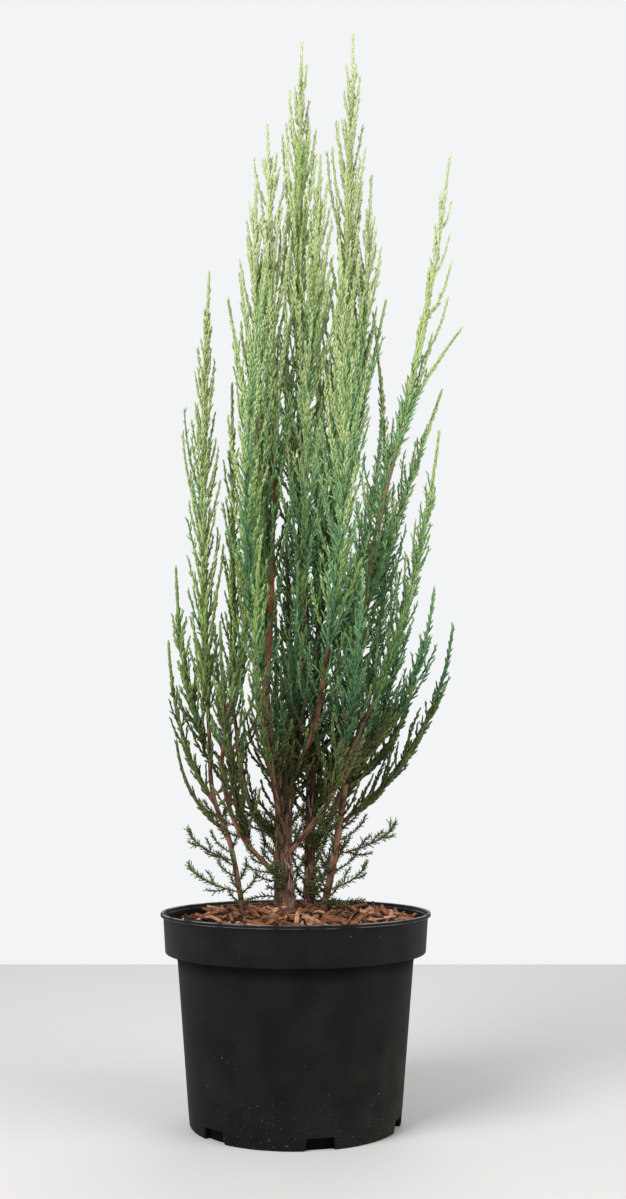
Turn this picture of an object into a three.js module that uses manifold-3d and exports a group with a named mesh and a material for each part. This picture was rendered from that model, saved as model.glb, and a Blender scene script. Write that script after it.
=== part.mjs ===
// A potted columnar juniper: a black nursery pot, its potting mix under bark mulch, and the plant.
// Millimetres, +Z up, the plant's front towards -Y. The origin is the centre of the pot's underside.
// Run it with the packages three and manifold-3d; it exports one named mesh for each piece.
import * as THREE from "three";
import { mergeVertices } from "three/addons/utils/BufferGeometryUtils.js";
import Module from "manifold-3d";

const wasm = await Module();
wasm.setup();

// The gap that two touching pieces keep.
const gap = 0.3;

// The pot: a tapered body, a wide collar round its top and a thin lip on that.
const pot = {
  height: 210.5,
  wall: 2.2,
  floor: 2.5,
  footRadius: 107.6,
  footRounding: 3,
  bodyTopRadius: 121.8,
  collarBottom: 170,
  collarStep: 8,
  collarBottomRadius: 134.5,
  collarTopRadius: 137.2,
  lipRadius: 140,
  lipHeight: 4,
  sides: 36,
};

// Drain pockets cut into the edge of the pot's underside, the first one just right of the front.
const pocket = { count: 6, firstTurn: -76.5, width: 28, height: 11, innerEnd: 75, roof: 2.2, hole: 10 };

// The potting mix, mounded a little round the stems, and the bark chips on it.
const mix = { edgeHeight: 198, moundHeight: 206, moundRadius: 78 };
const chips = { count: 14, length: 28, width: 8, thickness: 3, innerRadius: 34, outerRadius: 114 };
const ground = mix.moundHeight + gap;

// The trunk, from its flat cut at the mix to where the crown's tip shoot goes on.
const trunk = {
  path: [[-10, 8, 186], [-13, 8, 310], [6, 6, 450], [6, 4, 600], [3, 3, 800]],
  footRadius: 10.4,
  tipRadius: 1.9,
  flare: 0.42,
  flareHeight: 16,
  sides: 9,
};

// Boughs: the limb each one leaves and at what height, or its foot on the mix, then the points it
// passes, and its radius at the foot and at the tip, where its foliage takes over.
const boughs = {
  second_stem: { foot: [14, 20], via: [[16, 22, 352], [24, 17, 500]], tip: [38, 11, 650],
    footRadius: 6.2, tipRadius: 2.2 },
  right_bough: { foot: [25, -3], via: [[48, -2, 315], [75, -7, 538]], tip: [94, -9, 650],
    footRadius: 5.2, tipRadius: 2.1 },
  left_bough: { foot: [-51, -6], via: [[-68, -8, 278], [-87, -10, 331]], tip: [-92, -10, 400],
    footRadius: 3.7, tipRadius: 2.1 },
  left_leader: { on: "trunk", at: 320, via: [[-32, 2, 400]], tip: [-28, -3, 530],
    footRadius: 4.2, tipRadius: 2.1 },
  left_inner_bough: { on: "trunk", at: 238, via: [[-57, -16, 290], [-76, -24, 350]], tip: [-72, -29, 405],
    footRadius: 3.5, tipRadius: 2 },
  left_back_bough: { on: "trunk", at: 276, via: [[-50, 26, 320]], tip: [-69, 39, 420],
    footRadius: 3.5, tipRadius: 2 },
  right_inner_bough: { on: "trunk", at: 262, via: [[32, -19, 320]], tip: [72, -29, 405],
    footRadius: 3.8, tipRadius: 2 },
  front_left_bough: { on: "trunk", at: 290, via: [[-24, -32, 350]], tip: [-28, -54, 430],
    footRadius: 3.4, tipRadius: 2 },
  front_right_bough: { on: "trunk", at: 335, via: [[18, -34, 395]], tip: [30, -56, 460],
    footRadius: 3.2, tipRadius: 2 },
  back_left_bough: { on: "trunk", at: 255, via: [[-20, 50, 340]], tip: [-32, 70, 430],
    footRadius: 3.4, tipRadius: 2 },
  back_bough: { on: "second_stem", at: 320, via: [[22, 58, 390]], tip: [24, 76, 460],
    footRadius: 3.4, tipRadius: 2 },
  back_right_bough: { on: "second_stem", at: 265, via: [[52, 40, 340]], tip: [74, 54, 420],
    footRadius: 3.4, tipRadius: 2 },
};

// Masses of foliage. Each leaves a limb at a height, or goes on from its tip, and reaches its own tip.
const masses = {
  crown_tip: { on: "trunk", tip: [5, 0, 1182] },
  second_stem_top: { on: "second_stem", tip: [64, 0, 1192] },
  right_top: { on: "right_bough", tip: [171, -14, 1036] },
  left_top: { on: "left_bough", tip: [-98, -4, 905] },
  left_leader_top: { on: "left_leader", tip: [-34, -6, 1078] },
  left_inner_top: { on: "left_inner_bough", tip: [-75, -26, 865] },
  left_back_top: { on: "left_back_bough", tip: [-74, 36, 789] },
  right_inner_top: { on: "right_inner_bough", tip: [154, -24, 715] },
  front_left_top: { on: "front_left_bough", tip: [-32, -66, 885] },
  front_right_top: { on: "front_right_bough", tip: [46, -66, 915] },
  back_left_top: { on: "back_left_bough", tip: [-40, 70, 925] },
  back_top: { on: "back_bough", tip: [20, 66, 985] },
  back_right_top: { on: "back_right_bough", tip: [88, 56, 880] },
  trunk_shoot_1: { on: "trunk", at: 350, tip: [2, -42, 570] },
  trunk_shoot_2: { on: "trunk", at: 385, tip: [-12, 38, 650] },
  trunk_shoot_3: { on: "trunk", at: 520, tip: [10, -38, 810] },
  trunk_shoot_4: { on: "trunk", at: 610, tip: [-14, 36, 900] },
  trunk_shoot_5: { on: "trunk", at: 720, tip: [26, -26, 1030] },
  second_shoot_1: { on: "second_stem", at: 300, tip: [64, 26, 560] },
  second_shoot_2: { on: "second_stem", at: 450, tip: [96, 18, 769] },
  second_shoot_3: { on: "second_stem", at: 545, tip: [100, 14, 880] },
  second_shoot_4: { on: "second_stem", at: 615, tip: [84, 6, 1022] },
  leader_shoot_1: { on: "left_leader", at: 420, tip: [-62, 4, 890] },
  leader_shoot_2: { on: "left_leader", at: 480, tip: [-46, -14, 1008] },
  right_shoot_1: { on: "right_bough", at: 610, tip: [180, -12, 836] },
  right_shoot_2: { on: "right_bough", at: 520, tip: [160, 8, 771] },
  right_shoot_3: { on: "right_bough", at: 300, tip: [168, -2, 508] },
  right_shoot_4: { on: "right_inner_bough", at: 350, tip: [144, -46, 540] },
  right_shoot_5: { on: "right_bough", at: 335, tip: [130, 18, 470] },
  left_shoot_1: { on: "left_bough", at: 375, tip: [-130, -4, 572] },
  left_shoot_2: { on: "left_bough", at: 320, tip: [-136, -10, 490] },
  left_shoot_3: { on: "left_bough", at: 292, tip: [-124, -26, 384] },
  front_shoot_1: { on: "front_left_bough", at: 350, tip: [-24, -112, 590] },
  front_shoot_2: { on: "left_inner_bough", at: 275, tip: [-76, -82, 500] },
  front_shoot_3: { on: "right_inner_bough", at: 320, tip: [68, -100, 550] },
  back_shoot_1: { on: "back_right_bough", at: 350, tip: [62, 112, 610] },
  back_shoot_2: { on: "left_back_bough", at: 320, tip: [-94, 80, 520] },
  back_shoot_3: { on: "back_right_bough", at: 310, tip: [122, 62, 570] },
  back_shoot_4: { on: "back_left_bough", at: 320, tip: [-26, 116, 560] },
  low_spray_left_1: { on: "left_bough", at: 262, tip: [-106, -20, 316], low: true },
  low_spray_left_2: { on: "left_bough", at: 230, tip: [-110, -8, 254], low: true },
  low_spray_right_1: { on: "right_bough", at: 268, tip: [104, -12, 302], low: true },
  low_spray_right_2: { on: "right_bough", at: 232, tip: [74, -14, 262], low: true },
  low_spray_back: { on: "second_stem", at: 236, tip: [48, 76, 276], low: true },
  low_spray_front: { on: "trunk", at: 232, tip: [-20, -52, 262], low: true },
};

// How a mass grows: side shoots leave its stem by the golden angle, longer the further below the
// tip they start, and stem and shoots are three-sided twigs with upward teeth for their sprays.
const goldenTurn = 2.399963;
const upright = {
  bareFoot: 24,
  shootPitch: 66,
  firstShoot: 30,
  tipShoot: 5,
  shortening: 0.38,
  longest: 104,
  shortest: 14,
  leans: [0.36, 0.28, 0.2, 0.13],
  lift: 0.35,
  ringPitch: 30,
  tooth: 10.5,
  tipTooth: 3,
  toothGrowth: 0.08,
  shootRingPitch: 24,
  shootTooth: 8.5,
};
const spreading = {
  bareFoot: 18,
  shootPitch: 16,
  firstShoot: 9,
  tipShoot: 7,
  shortening: 0.45,
  longest: 30,
  shortest: 7,
  leans: [0.6, 0.45, 0.3, 0.2],
  lift: 0.2,
  ringPitch: 13,
  tooth: 5.5,
  tipTooth: 3,
  toothGrowth: 0.2,
  shootRingPitch: 8,
  shootTooth: 4.2,
};
const twig = { footRadius: 1.9, shootRadius: 1.3, tipRadius: 0.8, barb: 0.85, clearance: 0.6 };

const colours = { pot: 0x1d2021, mix: 0x6b4630, bark: 0x6f4a35 };

// The foliage's colour by how high its mass reaches: dark at the foot, yellow-green at the top.
const foliage = [
  { upTo: 420, colour: 0x33542f },
  { upTo: 700, colour: 0x4a7560 },
  { upTo: 900, colour: 0x628d5c },
  { upTo: Infinity, colour: 0x93b26a },
];

const point = (xyz) => new THREE.Vector3(...xyz);

// A repeatable number from 0 to 1 for the n-th choice of item k.
function chance(k, n) {
  const v = Math.sin(k * 127.1 + n * 311.7) * 43758.5453;
  return v - Math.floor(v);
}

// A closed mesh as a solid, and a solid as a mesh.
function toSolid(geometry) {
  const plain = geometry.clone().deleteAttribute("normal").deleteAttribute("uv");
  const merged = mergeVertices(plain, 1e-4);
  const vertProperties = merged.attributes.position.array;
  const triVerts = new Uint32Array(merged.index.array);
  return new wasm.Manifold(new wasm.Mesh({ numProp: 3, vertProperties, triVerts }));
}

function toMesh(name, solid, colour, roughness) {
  const data = solid.getMesh();
  const geometry = new THREE.BufferGeometry();
  geometry.setAttribute("position", new THREE.BufferAttribute(new Float32Array(data.vertProperties), 3));
  geometry.setIndex(new THREE.BufferAttribute(new Uint32Array(data.triVerts), 1));
  geometry.computeVertexNormals();
  const material = new THREE.MeshStandardMaterial({ color: colour, roughness, metalness: 0 });
  const mesh = new THREE.Mesh(geometry, material);
  mesh.name = name;
  return mesh;
}

// A profile of [radius, height] points, turned about Z.
function turned(profile, sides) {
  const points = profile.map(([radius, height]) => new THREE.Vector2(radius, height));
  return toSolid(new THREE.LatheGeometry(points, sides).rotateX(Math.PI / 2));
}

// Two directions across a tangent: the first level for an upright stem, the second to its back.
function across(tangent) {
  const side = Math.abs(tangent.y) > 0.9 ? new THREE.Vector3(1, 0, 0) : new THREE.Vector3(0, 1, 0);
  const first = side.clone().cross(tangent).normalize();
  return [first, tangent.clone().cross(first).normalize()];
}

// A closed cylinder bent along a curve. reach(share, corner) gives the distance of a corner from
// the curve, and barb(share, corner) how far it leans ahead along it.
function bent(curve, sides, rings, reach, barb = () => 0) {
  const geometry = new THREE.CylinderGeometry(1, 1, 1, sides, rings, false);
  const spots = geometry.attributes.position;
  for (let i = 0; i < spots.count; i++) {
    const share = spots.getY(i) + 0.5;
    const centre = curve.getPointAt(share);
    const tangent = curve.getTangentAt(share);
    const [first, second] = across(tangent);
    const angle = Math.atan2(spots.getX(i), spots.getZ(i));
    const corner = (Math.round((angle / (2 * Math.PI)) * sides) + sides) % sides;
    const onAxis = Math.hypot(spots.getX(i), spots.getZ(i)) < 0.5;
    const out = onAxis ? 0 : reach(share, corner);
    centre.addScaledVector(first, out * Math.cos(angle)).addScaledVector(second, out * Math.sin(angle));
    if (!onAxis) centre.addScaledVector(tangent, barb(share, corner));
    spots.setXYZ(i, centre.x, centre.y, centre.z);
  }
  return toSolid(geometry);
}

// Limbs by name, each with its curve, its solid and a fatter copy. What leaves a limb starts on its
// axis, and the fatter copy cuts the foot clear of the bark.
const limbs = {};

const taper = (limb, share) => limb.tipRadius + (limb.footRadius - limb.tipRadius) * (1 - share) ** 0.9;

function addLimb(name, limb, curve, sides, rings, reach) {
  const clear = gap / Math.cos(Math.PI / sides);
  const solid = bent(curve, sides, rings, reach);
  const fatter = bent(curve, sides, rings, (share, corner) => reach(share, corner) + clear);
  limbs[name] = { ...limb, curve, solid: solid.trimByPlane([0, 0, 1], ground), fatter };
}

function cutClear(solid, limb) {
  const bodies = solid.subtract(limb.fatter).decompose();
  return bodies.reduce((most, body) => (body.volume() > most.volume() ? body : most));
}

// The point on a limb's axis at a height.
function axisAt(limb, height) {
  let low = 0;
  let high = 1;
  for (let step = 0; step < 40; step++) {
    const middle = (low + high) / 2;
    if (limb.curve.getPointAt(middle).z < height) low = middle;
    else high = middle;
  }
  return limb.curve.getPointAt(low);
}

const through = (points) => new THREE.CatmullRomCurve3(points, false, "catmullrom", 0.5);

function addTrunk() {
  const curve = through(trunk.path.map(point));
  const reach = (share, corner) => {
    const lift = Math.max(0, curve.getPointAt(share).z - ground);
    const root = trunk.flare * Math.exp(-lift / trunk.flareHeight) * (0.6 + 0.4 * Math.cos(corner * Math.PI));
    const bark = 0.06 * (chance(corner, Math.round(share * 40)) - 0.5);
    return taper(trunk, share) * (1 + root + bark);
  };
  addLimb("trunk", trunk, curve, trunk.sides, 20, reach);
}

function addBough(name, bough) {
  const parent = limbs[bough.on];
  const start = parent ? axisAt(parent, bough.at) : point([...bough.foot, ground - 14]);
  const curve = through([start, ...bough.via.map(point), point(bough.tip)]);
  const rings = Math.max(6, Math.round(curve.getLength() / 34));
  addLimb(name, bough, curve, 5, rings, (share) => taper(bough, share));
  if (parent) limbs[name].solid = cutClear(limbs[name].solid, parent);
}

// The stem of a mass: on from its limb's tip, or out of the limb's side and then up.
function stemOf(mass) {
  const limb = limbs[mass.on];
  const tip = point(mass.tip);
  if (mass.at === undefined) {
    const end = limb.curve.getPointAt(1);
    const ahead = limb.curve.getTangentAt(1);
    const start = end.clone().addScaledVector(ahead, gap);
    const pull = start.clone().addScaledVector(ahead, 0.4 * tip.distanceTo(end));
    return new THREE.QuadraticBezierCurve3(start, pull, tip);
  }
  const start = axisAt(limb, mass.at);
  const pull = start.clone().lerp(tip, 0.85).setZ(start.z + 0.34 * (tip.z - start.z));
  return new THREE.QuadraticBezierCurve3(start, pull, tip);
}

// What a growing shoot must keep away from: the other masses' stems, and every limb's bark.
const stemMarks = [];
const limbMarks = [];

function markStem(name, curve) {
  const count = Math.ceil(curve.getLength() / 5);
  for (const spot of curve.getSpacedPoints(count)) stemMarks.push({ name, spot });
}

function markLimb(limb) {
  const count = Math.ceil(limb.curve.getLength() / 5);
  for (let i = 0; i <= count; i++)
    limbMarks.push({ spot: limb.curve.getPointAt(i / count), radius: taper(limb, i / count) });
}

// How far a piece of the named mass may reach from a spot before it leaves the mass's own space.
function room(name, spot) {
  let own = Infinity;
  let other = Infinity;
  for (const mark of stemMarks) {
    const away = mark.spot.distanceTo(spot);
    if (mark.name === name) own = Math.min(own, away);
    else other = Math.min(other, away);
  }
  let free = (other - own) / 2;
  for (const mark of limbMarks) free = Math.min(free, mark.spot.distanceTo(spot) - mark.radius);
  return free - twig.clearance;
}

// A twig with sprays: a slim three-sided core, with one corner a ring drawn out as an upward tooth.
function sprayed(name, curve, pitch, footRadius, toothAt) {
  const rings = Math.max(3, Math.round(curve.getLength() / pitch));
  const step = curve.getLength() / rings;
  const free = [];
  for (let i = 0; i <= rings; i++) free.push(room(name, curve.getPointAt(i / rings)));
  const drawnOut = (ring, corner) => ring > 0 && ring < rings && corner === ring % 3;
  const reach = (share, corner) => {
    const ring = Math.round(share * rings);
    const core = twig.tipRadius + (footRadius - twig.tipRadius) * (1 - share);
    if (!drawnOut(ring, corner)) return core;
    const wide = toothAt((1 - share) * curve.getLength()) * (0.8 + 0.4 * chance(ring, corner));
    return Math.max(core, Math.min(wide, free[ring], free[ring + 1]));
  };
  const barb = (share, corner) => (drawnOut(Math.round(share * rings), corner) ? twig.barb * step : 0);
  return bent(curve, 3, rings, reach, barb);
}

// One side shoot, as wide and then as long as the space lets it be, or nothing where there is none.
function sideShoot(name, mass, fall, turn, length) {
  const { stem, habit } = mass;
  const share = 1 - fall / stem.getLength();
  const foot = stem.getPointAt(share);
  const ahead = stem.getTangentAt(share).lerp(new THREE.Vector3(0, 0, 1), habit.lift).normalize();
  const [first, second] = across(ahead);
  const out = first.multiplyScalar(Math.cos(turn)).addScaledVector(second, Math.sin(turn));
  for (let size = length; size >= habit.shortest; size *= 0.75) {
    for (const lean of habit.leans) {
      const pull = foot.clone().addScaledVector(ahead, 0.3 * size).addScaledVector(out, 0.8 * lean * size);
      const tip = foot.clone().addScaledVector(ahead, 0.93 * size).addScaledVector(out, lean * size);
      const curve = new THREE.QuadraticBezierCurve3(foot, pull, tip);
      const spots = [0.3, 0.45, 0.6, 0.75, 0.9, 1].map((along) => curve.getPointAt(along));
      if (spots.every((spot) => room(name, spot) > twig.shootRadius)) return curve;
    }
  }
  return null;
}

function makeMass(name, mass, order) {
  const { stem, habit } = mass;
  const growth = (fall) => habit.tipTooth + habit.toothGrowth * fall;
  const stemTooth = (fall) => Math.min(habit.tooth, growth(fall));
  const shootTooth = (fall) => Math.min(habit.shootTooth, growth(fall) + 0.1 * fall);
  const pieces = [sprayed(name, stem, habit.ringPitch, twig.footRadius, stemTooth)];
  const count = Math.floor((stem.getLength() - habit.bareFoot - habit.firstShoot) / habit.shootPitch) + 1;
  for (let k = 0; k < count; k++) {
    const fall = habit.firstShoot + k * habit.shootPitch;
    const length = Math.min(habit.longest, habit.tipShoot + habit.shortening * fall);
    const turn = order + k * 5 * goldenTurn;
    const curve = sideShoot(name, mass, fall, turn, length * (0.85 + 0.3 * chance(order, k)));
    if (curve) pieces.push(sprayed(name, curve, habit.shootRingPitch, twig.shootRadius, shootTooth));
  }
  const made = wasm.Manifold.union(pieces);
  return mass.at === undefined ? made : cutClear(made, limbs[mass.on]);
}

// A block at the i-th drain pocket, between two distances from the axis and two heights.
function pocketBlock(i, width, from, to, bottom, top) {
  const turn = THREE.MathUtils.degToRad(pocket.firstTurn + (i * 360) / pocket.count);
  const block = new THREE.BoxGeometry(to - from, width, top - bottom);
  return toSolid(block.translate((from + to) / 2, 0, (bottom + top) / 2).rotateZ(turn));
}

function pocketRoof(i, grown) {
  const thick = pocket.roof + grown;
  const wide = pocket.width + 2 * thick;
  return pocketBlock(i, wide, pocket.innerEnd - thick, pot.bodyTopRadius, 0, pocket.height + thick);
}

// What fills the pot's inside, this far from its wall and floor and up to a height.
function inside(inset, top) {
  const wall = pot.wall + inset;
  const step = pot.collarBottom + pot.wall;
  const filled = turned([
    [0, pot.floor + inset],
    [pot.footRadius - wall, pot.floor + inset],
    [pot.bodyTopRadius - wall, step - 1],
    [pot.collarBottomRadius - wall, step + inset],
    [pot.collarTopRadius - wall, top],
    [0, top],
  ], pot.sides);
  const roofs = Array.from({ length: pocket.count }, (_, i) => pocketRoof(i, inset));
  return wasm.Manifold.difference([filled, ...roofs]);
}

function makePot() {
  const collarTop = pot.height - pot.lipHeight;
  let made = turned([
    [0, 0],
    [pot.footRadius - pot.footRounding, 0],
    [pot.footRadius, pot.footRounding],
    [pot.bodyTopRadius, pot.collarBottom - pot.collarStep],
    [pot.bodyTopRadius + 2, pot.collarBottom - 1],
    [pot.collarBottomRadius, pot.collarBottom],
    [pot.collarTopRadius, collarTop],
    [pot.lipRadius, collarTop],
    [pot.lipRadius, pot.height],
    [0, pot.height],
  ], pot.sides).subtract(inside(0, pot.height + 5));
  const { count, width, height, roof, innerEnd, hole } = pocket;
  const middle = (innerEnd + pot.footRadius) / 2;
  for (let i = 0; i < count; i++) {
    made = made
      .subtract(pocketBlock(i, width, innerEnd, pot.lipRadius, -5, height))
      .subtract(pocketBlock(i, hole, middle - hole / 2, middle + hole / 2, 0, height + 2 * roof));
  }
  return made;
}

function makeMix() {
  const reach = pot.lipRadius;
  const slope = turned([
    [0, 0],
    [reach, 0],
    [reach, mix.edgeHeight],
    [(pot.collarTopRadius + mix.moundRadius) / 2, (mix.edgeHeight + 2 * mix.moundHeight) / 3],
    [mix.moundRadius, mix.moundHeight],
    [0, mix.moundHeight],
  ], pot.sides);
  let made = inside(gap, mix.moundHeight + 5).intersect(slope);
  const rising = Object.values(boughs).filter((bough) => bough.foot);
  const feet = [trunk.path[0], ...rising.map((bough) => bough.foot)];
  for (let i = 0; i < chips.count; i++) {
    const turn = i * goldenTurn;
    const spread = Math.sqrt((i + 0.5) / chips.count);
    const radius = chips.innerRadius + (chips.outerRadius - chips.innerRadius) * spread;
    const [x, y] = [radius * Math.cos(turn), radius * Math.sin(turn)];
    if (feet.some((foot) => Math.hypot(foot[0] - x, foot[1] - y) < chips.length)) continue;
    const share = Math.max(0, (radius - mix.moundRadius) / (pot.collarTopRadius - mix.moundRadius));
    const height = mix.moundHeight - share * (mix.moundHeight - mix.edgeHeight);
    const size = 0.75 + 0.6 * chance(i, 1);
    const chip = new THREE.BoxGeometry(chips.length * size, chips.width * size, chips.thickness)
      .rotateY(0.3 * (chance(i, 2) - 0.5))
      .rotateX(0.5 * (chance(i, 3) - 0.5))
      .rotateZ(Math.PI * chance(i, 4))
      .translate(x, y, height + 0.8);
    made = made.add(toSolid(chip));
  }
  return made;
}

function makePlant() {
  const plant = new THREE.Group();
  addTrunk();
  for (const [name, bough] of Object.entries(boughs)) addBough(name, bough);
  for (const [name, limb] of Object.entries(limbs)) {
    plant.add(toMesh(name, limb.solid, colours.bark, 0.9));
    markLimb(limb);
  }
  for (const [name, mass] of Object.entries(masses)) {
    mass.stem = stemOf(mass);
    mass.habit = mass.low ? spreading : upright;
    markStem(name, mass.stem);
  }
  Object.entries(masses).forEach(([name, mass], order) => {
    const { colour } = foliage.find((band) => mass.tip[2] < band.upTo);
    plant.add(toMesh(name, makeMass(name, mass, order), colour, 0.8));
  });
  return plant;
}

const juniper = new THREE.Group();
juniper.add(toMesh("pot", makePot(), colours.pot, 0.6));
juniper.add(toMesh("potting_mix", makeMix(), colours.mix, 0.95));
juniper.add(makePlant());
export default juniper;
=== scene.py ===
import math
import bpy
import numpy as np
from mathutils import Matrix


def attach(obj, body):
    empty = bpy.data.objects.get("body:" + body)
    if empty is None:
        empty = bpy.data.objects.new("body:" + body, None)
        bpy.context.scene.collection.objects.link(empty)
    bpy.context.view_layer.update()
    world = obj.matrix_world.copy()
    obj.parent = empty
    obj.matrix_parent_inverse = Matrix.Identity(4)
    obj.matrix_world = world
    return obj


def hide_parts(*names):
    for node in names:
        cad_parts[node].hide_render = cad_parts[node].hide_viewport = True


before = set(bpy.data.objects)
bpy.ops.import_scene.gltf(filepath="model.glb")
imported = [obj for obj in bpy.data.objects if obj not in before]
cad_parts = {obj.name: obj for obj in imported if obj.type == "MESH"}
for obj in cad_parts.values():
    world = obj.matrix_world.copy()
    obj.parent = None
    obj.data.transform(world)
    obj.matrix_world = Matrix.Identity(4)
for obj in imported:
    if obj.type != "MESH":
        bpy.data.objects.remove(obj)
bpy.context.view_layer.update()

up = np.array([0.0, 0.0, 1.0])
goldenTurn = 2.399963  # radians between neighbours along a shoot
limbPoints, stemPoints = 161, 200  # points on a limb's line and on a leading shoot's

# Sizes below are in millimetres, like the solids'; every mesh is written in metres.


cameraCard = {
    "place": (17.9, -1374.9, 340.3),
    "tiltUp": 0.143,  # radians above level
    "focalPixels": 1288.4,
    "framePixels": 1199,  # the photograph's long side
    "sensor": 36.0,
}


# The lens is the focal length in pixels over the photograph's long side, times the sensor's width.
def makeCamera():
    c = cameraCard
    data = bpy.data.cameras.new("photoCamera")
    data.sensor_width = c["sensor"]
    data.sensor_fit = "AUTO"
    data.lens = c["focalPixels"] / c["framePixels"] * c["sensor"]
    camera = bpy.data.objects.new("photoCamera", data)
    camera.location = [part / 1000 for part in c["place"]]
    camera.rotation_euler = (math.pi / 2 + c["tiltUp"], 0, 0)
    bpy.context.scene.collection.objects.link(camera)
    bpy.context.scene.camera = camera


# Repeatable numbers from 0 to 1, one for each pair of whole numbers: what a large sine has past its point.
def chance(k, n):
    v = np.sin(np.asarray(k) * 127.1 + np.asarray(n) * 311.7) * 43758.5453
    return v - np.floor(v)


# Value noise: random numbers on a lattice blended by smooth steps, repeating every `around` cells of u.
def valueNoise(u, v, around, seed):
    iu, iv = np.floor(u), np.floor(v)
    fu, fv = u - iu, v - iv
    fu, fv = fu * fu * (3 - 2 * fu), fv * fv * (3 - 2 * fv)
    left, right = iu % around + 57 * seed, (iu + 1) % around + 57 * seed
    low = chance(left, iv) * (1 - fu) + chance(right, iv) * fu
    high = chance(left, iv + 1) * (1 - fu) + chance(right, iv + 1) * fu
    return low * (1 - fv) + high * fv


# 0 up to the start and 1 past the end; between them three squares less two cubes of the share gone.
def smoothStep(x, start, end):
    t = np.clip((x - start) / (end - start), 0, 1)
    return t * t * (3 - 2 * t)


# Each row divided by its own length.
def unit(v):
    return v / np.linalg.norm(v, axis=-1, keepdims=True)


# Two directions across a tangent: Y crossed with it, or X where it runs along Y, and then their normal.
def across(tangent):
    alongY = np.abs(tangent[..., 1:2]) > 0.9
    side = np.where(alongY, [1.0, 0.0, 0.0], [0.0, 1.0, 0.0])
    first = unit(np.cross(side, tangent))
    return first, np.cross(tangent, first)


# A direction between two others: the first times the angle's cosine and the second times its sine.
def turned(first, second, angle):
    return first * np.cos(angle)[..., None] + second * np.sin(angle)[..., None]


# The rows of a line at given places, blended straight between the marks before and after.
def rowsAt(places, marks, line):
    return np.stack([np.interp(places, marks, line[:, i]) for i in range(3)], -1)


# A mesh object from vertices in millimetres and triangles, with a map and a shade per vertex if given.
def addPiece(name, vertices, faces, material, smooth=True, uv=None, crack=None):
    mesh = bpy.data.meshes.new(name)
    vertices = np.asarray(vertices, dtype=np.float32).reshape(-1, 3) / 1000
    faces = np.asarray(faces, dtype=np.int32)
    mesh.vertices.add(len(vertices))
    mesh.vertices.foreach_set("co", vertices.ravel())
    mesh.loops.add(faces.size)
    mesh.loops.foreach_set("vertex_index", faces.ravel())
    mesh.polygons.add(len(faces))
    mesh.polygons.foreach_set("loop_start", np.arange(0, faces.size, 3, dtype=np.int32))
    mesh.polygons.foreach_set("use_smooth", np.full(len(faces), smooth))
    mesh.update(calc_edges=True)
    if uv is not None:
        layer = mesh.uv_layers.new(name="UVMap")
        layer.uv.foreach_set("vector", np.asarray(uv, dtype=np.float32)[faces.ravel()].ravel())
    if crack is not None:
        shade = mesh.attributes.new("crack", "FLOAT", "POINT")
        shade.data.foreach_set("value", np.asarray(crack, dtype=np.float32))
    mesh.materials.append(material)
    piece = bpy.data.objects.new(name, mesh)
    bpy.context.scene.collection.objects.link(piece)
    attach(piece, "root")
    return piece


# Triangles of a grid of rows by columns of vertices, closed round its columns.
def wallFaces(rows, columns):
    r, c = np.meshgrid(np.arange(rows - 1), np.arange(columns), indexing="ij")
    here, there = r * columns + c, r * columns + (c + 1) % columns
    quads = np.stack([here, there, there + columns, here + columns], -1).reshape(-1, 4)
    return np.concatenate([quads[:, [0, 1, 2]], quads[:, [0, 2, 3]]])


# The same with a fan at each end, round a first and a last point that follow the grid's own.
def tubeFaces(rows, columns):
    c, count = np.arange(columns), rows * columns
    after, last = (c + 1) % columns, count - columns
    low = np.stack([after, c, np.full(columns, count)], 1)
    high = np.stack([last + c, last + after, np.full(columns, count + 1)], 1)
    return np.concatenate([wallFaces(rows, columns), low, high])


# A bar of four-cornered sections, closed by two triangles at each end.
def barFaces(sections):
    e = 4 * (sections - 1)
    ends = [[0, 3, 2], [0, 2, 1], [e, e + 1, e + 2], [e, e + 2, e + 3]]
    return np.concatenate([wallFaces(sections, 4), ends])


# The faces of many like shapes, each numbered on from the last by the corners that one has.
def repeated(faces, count, corners):
    return (faces[None] + (np.arange(count) * corners)[:, None, None]).reshape(-1, 3)


# A plain material: one colour, one roughness and one level of reflection, each on the shader's own socket.
def plainMaterial(name, colour, roughness, specular):
    material = bpy.data.materials.new(name)
    material.use_nodes = True
    shader = material.node_tree.nodes["Principled BSDF"]
    shader.inputs["Base Color"].default_value = (*colour, 1)
    shader.inputs["Roughness"].default_value = roughness
    shader.inputs["Specular IOR Level"].default_value = specular
    return material


# The outputs of a new node, whose inputs are each a fixed value or another node's output.
def addNode(tree, kind, inputs=None, **settings):
    node = tree.nodes.new("ShaderNode" + kind)
    for key, value in settings.items():
        setattr(node, key, value)
    for key, value in (inputs or {}).items():
        if isinstance(value, bpy.types.NodeSocket):
            tree.links.new(value, node.inputs[key])
        else:
            node.inputs[key].default_value = value
    return node.outputs


# Cloudy noise from 0 to 1 at a place.
def noise(tree, place, scale, detail, roughness=0.5):
    facts = {"Scale": scale, "Detail": detail, "Roughness": roughness}
    return addNode(tree, "TexNoise", {"Vector": place, **facts})[0]


# A value carried from between low and high to between bottom and top, and held there outside them.
def ranged(tree, value, low, high, top, bottom=0.0):
    limits = {"From Min": low, "From Max": high, "To Min": bottom, "To Max": top}
    return addNode(tree, "MapRange", {"Value": value, **limits})[0]


# One of the shader's sums, such as a product of two values.
def worked(tree, operation, *values, clamp=False):
    return addNode(tree, "Math", dict(enumerate(values)), operation=operation, use_clamp=clamp)[0]


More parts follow.
